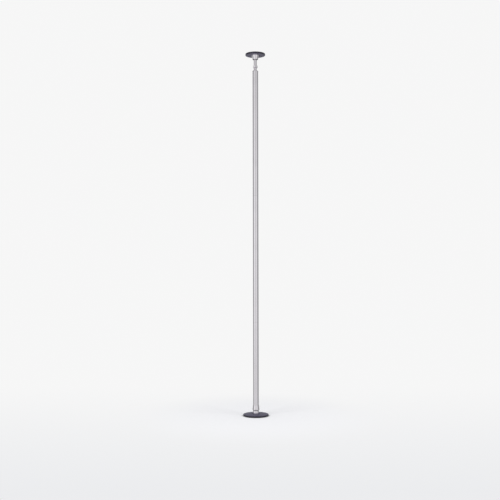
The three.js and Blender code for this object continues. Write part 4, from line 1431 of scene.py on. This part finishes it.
class DANCEPOLE_OT_jack(PoleOperator, bpy.types.Operator):
    """Jack rod, its nut and its guide"""

    bl_idname = "dance_pole.jack"
    bl_label = "Jack"

    def make(self, size):
        """The threaded rod, the turning nut pinned on it, and the nylon guide at its foot."""
        dress(self.cross_drilled(self.rod(size), size), "jack_rod")
        dress(self.cross_drilled(self.nut(size), size), "turning_nut")
        set_across("nut_pin", RIGHT, dowel, NUT_PIN)
        self.guide(size)

    def cross_drilled(self, mesh, size):
        """The mesh with the nut pin's hole through it."""
        reach = 4 * radius("turning_nut")
        bit = drill_bit(NUT_PIN + size.fit, reach)
        return cut(mesh, moved(bit, outwards(RIGHT, -reach / 2, middle("nut_pin"))))

    def rod(self, size):
        """A rod with a jack thread from its guide to its nut, and a smooth neck above."""
        node = "jack_rod"
        reach = radius(node)
        minor = reach - size.jack_depth
        low, high = foot(node), top(node)
        shoulder = top("rod_guide") + size.fit
        head_shoulder = foot("ceiling_bearing_inner_ring")
        thread_end = foot("turning_nut") - 1.5 * MM
        turns = thread(minor, reach, size.jack_pitch, shoulder, thread_end, size.sides, finish(SLOTS[node]),
                       flats=JACK_FLATS)
        below = open_turned([
            (0.0, low), (GUIDE_JOURNAL, low, 0.6 * MM),
            *ring_groove(GUIDE_JOURNAL, foot("guide_retaining_ring")), (GUIDE_JOURNAL, shoulder),
            (minor, shoulder),
        ], size.sides)
        above = open_turned([
            (minor, thread_end), (reach, thread_end + size.jack_depth, 0.2 * MM),
            (reach, head_shoulder, size.edge), (HEAD_JOURNAL, head_shoulder),
            *ring_groove(HEAD_JOURNAL, foot("rod_retaining_ring")), (HEAD_JOURNAL, high, 0.8 * MM), (0.0, high),
        ], size.sides)
        return welded(turns, below, above)

    def nut(self, size):
        """A hexagon nut with its corners turned off at both ends."""
        node = "turning_nut"
        low, high, corner = foot(node), top(node), radius(node)
        across = corner * math.sqrt(3)
        flats = hexagon(across, size.sides)
        face = across / 2 - 1.2 * MM
        chamfer = 2.4 * MM
        ease = 0.4 * MM
        bore = radius("jack_rod") + size.fit
        rise = (flats - face) / (corner - face) * chamfer
        rows = [
            (bore, low + ease), (bore + ease, low), (face, low), (flats, low + rise), (flats, high - rise),
            (face, high), (bore + ease, high), (bore, high - ease), (bore, low + ease),
        ]
        return welded(skin([ring(reach, height, size.sides) for reach, height in rows]))

    def guide(self, size):
        """A nylon ring with two oil grooves, which slides in the tube."""
        node = "rod_guide"
        low, high, reach = foot(node), top(node), radius(node)
        bore = GUIDE_JOURNAL + size.fit
        groove = 1.0 * MM
        ease = 0.2 * MM
        corners = [(bore, low, 0.5 * MM), (reach, low, 1.2 * MM)]
        for share in (1 / 3, 2 / 3):
            level = low + (high - low) * share
            corners += [
                (reach, level - groove, ease), (reach - groove, level - groove / 2, ease),
                (reach - groove, level + groove / 2, ease), (reach, level + groove, ease),
            ]
        corners += [(reach, high, 1.2 * MM), (bore, high, 0.5 * MM)]
        dress(turned(corners), node)


def cup_screw_places():
    """Where each of the cup's screws stands."""
    boxes = [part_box(f"cup_screw_{index}") for index in (1, 2, 3)]
    return [((low.x + high.x) / 2, (low.y + high.y) / 2) for low, high in boxes]


def at_cup_screws(bit):
    """A copy of one cutter at each of the cup's screws."""
    return [moved(bit.copy(), shift(x, y, 0)) for x, y in cup_screw_places()]


class DANCEPOLE_OT_ceiling_cup(PoleOperator, bpy.types.Operator):
    """Chrome cup under the ceiling plate"""

    bl_idname = "dance_pole.ceiling_cup"
    bl_label = "Ceiling cup"

    def make(self, size):
        """A bowl that flares from the rod's mouth to the plate, with three blind holes in its top."""
        node = "ceiling_cup"
        level, reach = foot(node), radius(node)
        height = top(node) - level
        mouth = radius("jack_rod") + 2.25 * MM
        bearing = radius("ceiling_bearing_outer_ring")
        seat = foot("ceiling_bearing_outer_ring") - level
        ledge = seat - 1.5 * MM
        lip = bearing + 1.0 * MM
        bore = bearing + size.fit
        relief = bearing - 3 * MM
        recess = lip - 2.5 * MM
        deep = 9 * MM
        corner = (lip + (reach - lip) * 0.2, height * 0.42)
        corners = [
            (recess, 0.0, 0.5 * MM), (lip, 0.0, 0.5 * MM), *lean((lip, 0.5 * MM), corner, (reach, height)),
            (bore, height, 0.3 * MM), (bore, seat), (relief, seat, 0.2 * MM), (relief, ledge),
            (mouth, ledge, 0.4 * MM), (mouth, deep, 0.4 * MM), (recess, deep),
        ]
        low = foot("cup_screw_1") - 1 * MM
        bit = drill_bit(CUP_SCREW / 2 + size.fit, top(node) - low + 2 * MM)
        mesh = cut(turned(lifted(corners, level)), *at_cup_screws(moved(bit, shift(0, 0, low))))
        # painted shade: the recess in the cup's mouth is darkened by the chrome finish
        mark(mesh, "inside", lambda out, up: up < level + deep + WELD and out < recess + WELD)
        dress(mesh, node)


class DANCEPOLE_OT_ceiling_plate(PoleOperator, bpy.types.Operator):
    """Domed ceiling plate and its screws"""

    bl_idname = "dance_pole.ceiling_plate"
    bl_label = "Ceiling plate"

    def make(self, size):
        """A shallow dome with a boss that presses on the bearing, held to the cup by three screws."""
        node = "ceiling_plate"
        reach, end = radius(node), top(node)
        level = top("ceiling_cup")
        boss_foot = foot(node)
        boss = radius("ceiling_bearing_outer_ring")
        boss_bore = boss - 4.8 * MM
        recess = top("jack_rod") + 2 * MM
        socket = radius("ceiling_cup") + 5 * MM
        rim = 3 * MM
        side = end - 7.5 * MM
        crown = 0.6 * MM
        steps = 12
        dome = []
        for share in (step / steps for step in range(1, steps)):
            dome.append((socket + (reach - rim - socket) * share, side - rim - crown * (1 - share ** 2)))
        mesh = turned([
            (0.0, recess), (boss_bore, recess, 1.0 * MM), (boss_bore, boss_foot, 0.4 * MM),
            (boss, boss_foot, 0.4 * MM), (boss, level), (socket, level, 0.3 * MM),
            (socket, side - rim - crown, 0.6 * MM), *dome, *arc((reach - rim, side), rim, -math.pi / 2, 0),
            (reach, end, 0.6 * MM), (0.0, end),
        ])
        head, head_radius = 2.2 * MM, 4 * MM
        wide, narrow = head_radius + size.fit, CUP_SCREW / 2 + size.fit
        low, high = level - 2 * MM, end + 2 * MM
        bit = turned([
            (0, low), (narrow, low), (narrow, end - head), (wide, end), (wide, high), (0, high),
        ], size.screw_sides)
        mesh = cut(mesh, *at_cup_screws(bit))
        # painted shade: the rounded rim and side are marked, and the paint finish darkens them
        mark(mesh, "rim", lambda out, up: out > reach - rim - WELD)
        dress(mesh, node)
        for index, (x, y) in enumerate(cup_screw_places(), 1):
            name = f"cup_screw_{index}"
            screw = countersunk_screw(top(name) - foot(name), CUP_SCREW, head_radius, head)
            dress(moved(screw, shift(x, y, top(name)) @ UPSIDE_DOWN), name)


# Stage

STUDIO_TONES = (
    (-180, 0.40), (-165, 0.85), (-134, 0.95), (-118, 0.35), (-76, 0.35), (-62, 1.00), (-28, 1.00), (-15, 0.74),
    (0, 0.62), (13, 0.72), (24, 0.91), (52, 0.89), (70, 0.41), (100, 0.38), (150, 0.42), (165, 0.44), (180, 0.40),
)  # degrees to the right of the front, and how bright the room looks there
DIM_WALL = 0.4  # how bright every wall looks far above and below
DIM_RISE = 0.17  # square of the rise where that is reached
OVERHEAD = (0.235, 0.33, 1.0, 0.7)  # the rises between which it gets darker, and how bright it is at each

FLOOR_REACH = 60.0
PAINTED_CONTACT_SHADE_REACH = 0.02  # how near a piece the floor's colour is darkened by painted contact shade
MIRRORED_CONTACT_SHADE_REACH = 0.08  # how near a piece the floor that metal mirrors is darkened by painted contact shade
FADE = (0.25, 1.1, 0.0, 1.0)  # the distances between which the floor goes over to the backdrop
NEAR = (1.5, -2.1, 0, 1)  # the depths between which it takes the near floor's colour, painted shade toward the camera
NEAR_POWER = 1.3
FAR = (3.0, 9.0, 1, 0)  # the distances between which it loses that colour again
AMBIENT = (0.97, 0.975, 1.0, 1.0)
LAMPS = (("lamp_left", (-2.6, -2.4, 3.6), 1.0), ("lamp_right", (2.8, -1.8, 3.4), 0.8))
LAMP_WIDTH = 2.0


def studio_tone(direction, rise):
    """How bright the room looks in each direction from the pole and at each rise of the look, from 0 to 1.

    Two broad bright sides stand ahead of the pole, with a dimmer gap between them and darker walls past them.
    They are brightest level with the camera, and it is dim overhead.
    """
    turn = direction.axis(0).math("ARCTAN2", direction.axis(1) * -1)
    ramp = direction.tree.nodes.new("ShaderNodeValToRGB")
    feed(direction.tree, ramp, {0: turn / (2 * math.pi) + 0.5})
    colours = ramp.color_ramp
    colours.interpolation = "EASE"
    while len(colours.elements) < len(STUDIO_TONES):
        colours.elements.new(0.5)
    for element, (degrees, tone) in zip(colours.elements, STUDIO_TONES):
        element.position = degrees / 360 + 0.5
        element.color = (tone, tone, tone, 1.0)
    level = Value(direction.tree, ramp.outputs[0])
    return (rise * rise).carried(0.0, DIM_RISE, level, DIM_WALL) * rise.carried(*OVERHEAD)


def scaled(tree, colour, tone):
    """A colour dimmed by a tone."""
    return blend(tree, 1.0, opaque(colour), tone, blend_type="MULTIPLY")


def by_ray(tree, camera, polished, others):
    """A shader that is one thing to the camera, another to polished metal and a third to all other light."""
    path = tree.nodes.new("ShaderNodeLightPath").outputs
    seen, glossy, through = (
        Value(tree, path[f"Is {kind} Ray"]) for kind in ("Camera", "Glossy", "Transmission")
    )
    lit = put(tree, "ShaderNodeMixShader", {0: glossy.math("MAXIMUM", through), 1: others, 2: polished})
    return put(tree, "ShaderNodeMixShader", {0: seen, 1: lit, 2: camera})


def pale_world(stage):
    """Plain pale surroundings; polished metal sees them with the tones of a studio."""
    world = bpy.data.worlds.new("studio")
    bpy.context.scene.world = world
    world.use_nodes = True
    tree = world.node_tree
    tree.nodes.clear()
    direction = put(tree, "ShaderNodeTexCoord", out="Generated")
    tone = studio_tone(direction, direction.axis(2))
    views = ((opaque(stage.backdrop), 1.0), (scaled(tree, stage.backdrop, tone), 1.0), (AMBIENT, stage.ambient))
    backgrounds = [
        put(tree, "ShaderNodeBackground", {"Color": colour, "Strength": strength}) for colour, strength in views
    ]
    feed(tree, tree.nodes.new("ShaderNodeOutputWorld"), {0: by_ray(tree, *backgrounds)})


def pale_floor(stage):
    """A wide floor that fades into the backdrop away from the pole and keeps the pole's shadow near it. It has
    painted shade toward the camera and painted contact shade beside the pieces, and to polished metal it glows in
    the studio's tones.

    From underneath it is clear, so that the foot can be seen.
    """
    mesh = bpy.data.meshes.new("floor")
    reach = FLOOR_REACH
    corners = [(-reach, -reach, 0), (reach, -reach, 0), (reach, reach, 0), (-reach, reach, 0)]
    mesh.from_pydata(corners, [], [(0, 1, 2, 3)])
    floor = shown("floor", mesh)
    material = bpy.data.materials.new("pale_floor")
    material.use_nodes = True
    tree = material.node_tree
    principled = tree.nodes["Principled BSDF"]
    # painted shade: an ambient occlusion node darkens the floor's colour beside the pieces
    painted_contact_shade = put(tree, "ShaderNodeAmbientOcclusion", {"Color": opaque(stage.floor), "Distance": PAINTED_CONTACT_SHADE_REACH})
    feed(tree, principled, {"Base Color": painted_contact_shade, "Roughness": 0.6, "Specular IOR Level": 0.0})
    shader = Value(tree, principled.outputs[0])
    place = put(tree, "ShaderNodeTexCoord", out="Object")
    distance = put(tree, "ShaderNodeVectorMath", {0: place}, "Value", operation="LENGTH")
    fade = distance.carried(*FADE, interpolation_type="SMOOTHSTEP")
    # painted shade: the floor's glow darkens toward the camera, standing in for the light's falloff
    painted_shade_toward_camera = place.axis(1).carried(*NEAR).math("POWER", NEAR_POWER) * distance.carried(*FAR)
    pale = blend(tree, painted_shade_toward_camera, opaque(stage.backdrop), opaque(stage.shaded_near_floor))
    seen = put(tree, "ShaderNodeMixShader", {
        0: fade, 1: shader, 2: put(tree, "ShaderNodeEmission", {"Color": pale}),
    })
    drop = put(tree, "ShaderNodeMath", {
        0: -stage.camera_height, 1: distance + stage.camera_distance,
    }, operation="DIVIDE")
    # painted reflection and shade: to polished metal the floor glows in the studio's tones, darkened by an ambient
    # occlusion node near the pieces
    mirrored_floor_with_painted_shade = put(tree, "ShaderNodeAmbientOcclusion", {
        "Color": scaled(tree, stage.backdrop, studio_tone(place, drop)), "Distance": MIRRORED_CONTACT_SHADE_REACH,
    })
    mirrored = put(tree, "ShaderNodeEmission", {"Color": mirrored_floor_with_painted_shade})
    clear = put(tree, "ShaderNodeMixShader", {
        0: put(tree, "ShaderNodeNewGeometry", out="Backfacing"), 1: by_ray(tree, seen, mirrored, shader),
        2: put(tree, "ShaderNodeBsdfTransparent"),
    })
    feed(tree, tree.nodes["Material Output"], {0: clear})
    mesh.materials.append(material)


def soft_lamp(name, place, aim, width, power):
    """A large square lamp that faces a point."""
    data = bpy.data.lights.new(name, "AREA")
    data.shape = "SQUARE"
    data.size = width
    data.energy = power
    lamp = shown(name, data)
    lamp.location = place
    lamp.rotation_euler = (Vector(aim) - Vector(place)).to_track_quat("-Z", "Y").to_euler()
    lamp.visible_glossy = False


class DANCEPOLE_OT_stage(PoleOperator, bpy.types.Operator):
    """Floor, light and camera"""

    bl_idname = "dance_pole.stage"
    bl_label = "Stage"

    def make(self, size):
        """A plain pale studio seen from the photograph's place."""
        scene = bpy.context.scene
        stage = scene.dance_pole_stage
        pale_world(stage)
        pale_floor(stage)
        for name, place, share in LAMPS:
            soft_lamp(name, place, (0.0, 0.0, CAD_BOX[1].z / 2), LAMP_WIDTH, stage.lamp * share)
        data = bpy.data.cameras.new("camera")
        data.sensor_width = 36
        data.lens = stage.lens
        data.shift_y = stage.horizon
        camera = shown("camera", data)
        camera.location = (-stage.camera_aside, -stage.camera_distance, stage.camera_height)
        camera.rotation_euler = (math.pi / 2, stage.camera_roll, 0)
        scene.camera = camera
        scene.view_settings.view_transform = "Standard"


OPERATORS = (
    DANCEPOLE_OT_stage,
    DANCEPOLE_OT_pads,
    DANCEPOLE_OT_base_plate,
    DANCEPOLE_OT_hub,
    DANCEPOLE_OT_spindle,
    DANCEPOLE_OT_retaining_rings,
    DANCEPOLE_OT_ball_bearings,
    DANCEPOLE_OT_skirt,
    DANCEPOLE_OT_housing,
    DANCEPOLE_OT_tubes,
    DANCEPOLE_OT_expanders,
    DANCEPOLE_OT_jack_bush,
    DANCEPOLE_OT_jack,
    DANCEPOLE_OT_ceiling_cup,
    DANCEPOLE_OT_ceiling_plate,
)
SETTINGS = {
    "dance_pole_sizes": DancePoleSizes,
    "dance_pole_finishes": DancePoleFinishes,
    "dance_pole_stage": DancePoleStage,
}


class DANCEPOLE_PT_panel(bpy.types.Panel):
    """The pole's pieces and settings in the sidebar"""

    bl_label = "Dance Pole"
    bl_idname = "DANCEPOLE_PT_panel"
    bl_space_type = "VIEW_3D"
    bl_region_type = "UI"
    bl_category = "Dance Pole"

    def draw(self, context):
        """Lists the settings and the operators."""
        for group in SETTINGS:
            settings = getattr(context.scene, group)
            box = self.layout.box()
            for name in settings.__annotations__:
                box.prop(settings, name)
        for operator in OPERATORS:
            self.layout.operator(operator.bl_idname)


def register():
    """Adds the settings, the operators and the panel."""
    for name, group in SETTINGS.items():
        bpy.utils.register_class(group)
        setattr(bpy.types.Scene, name, PointerProperty(type=group))
    for operator in OPERATORS:
        bpy.utils.register_class(operator)
    bpy.utils.register_class(DANCEPOLE_PT_panel)


def unregister():
    """Takes them away again."""
    bpy.utils.unregister_class(DANCEPOLE_PT_panel)
    for operator in reversed(OPERATORS):
        bpy.utils.unregister_class(operator)
    for name, group in SETTINGS.items():
        delattr(bpy.types.Scene, name)
        bpy.utils.unregister_class(group)


def main():
    """Builds the pole and its stage."""
    register()
    for operator in OPERATORS:
        group, name = operator.bl_idname.split(".")
        getattr(getattr(bpy.ops, group), name)()


if __name__ == "__main__":
    main()
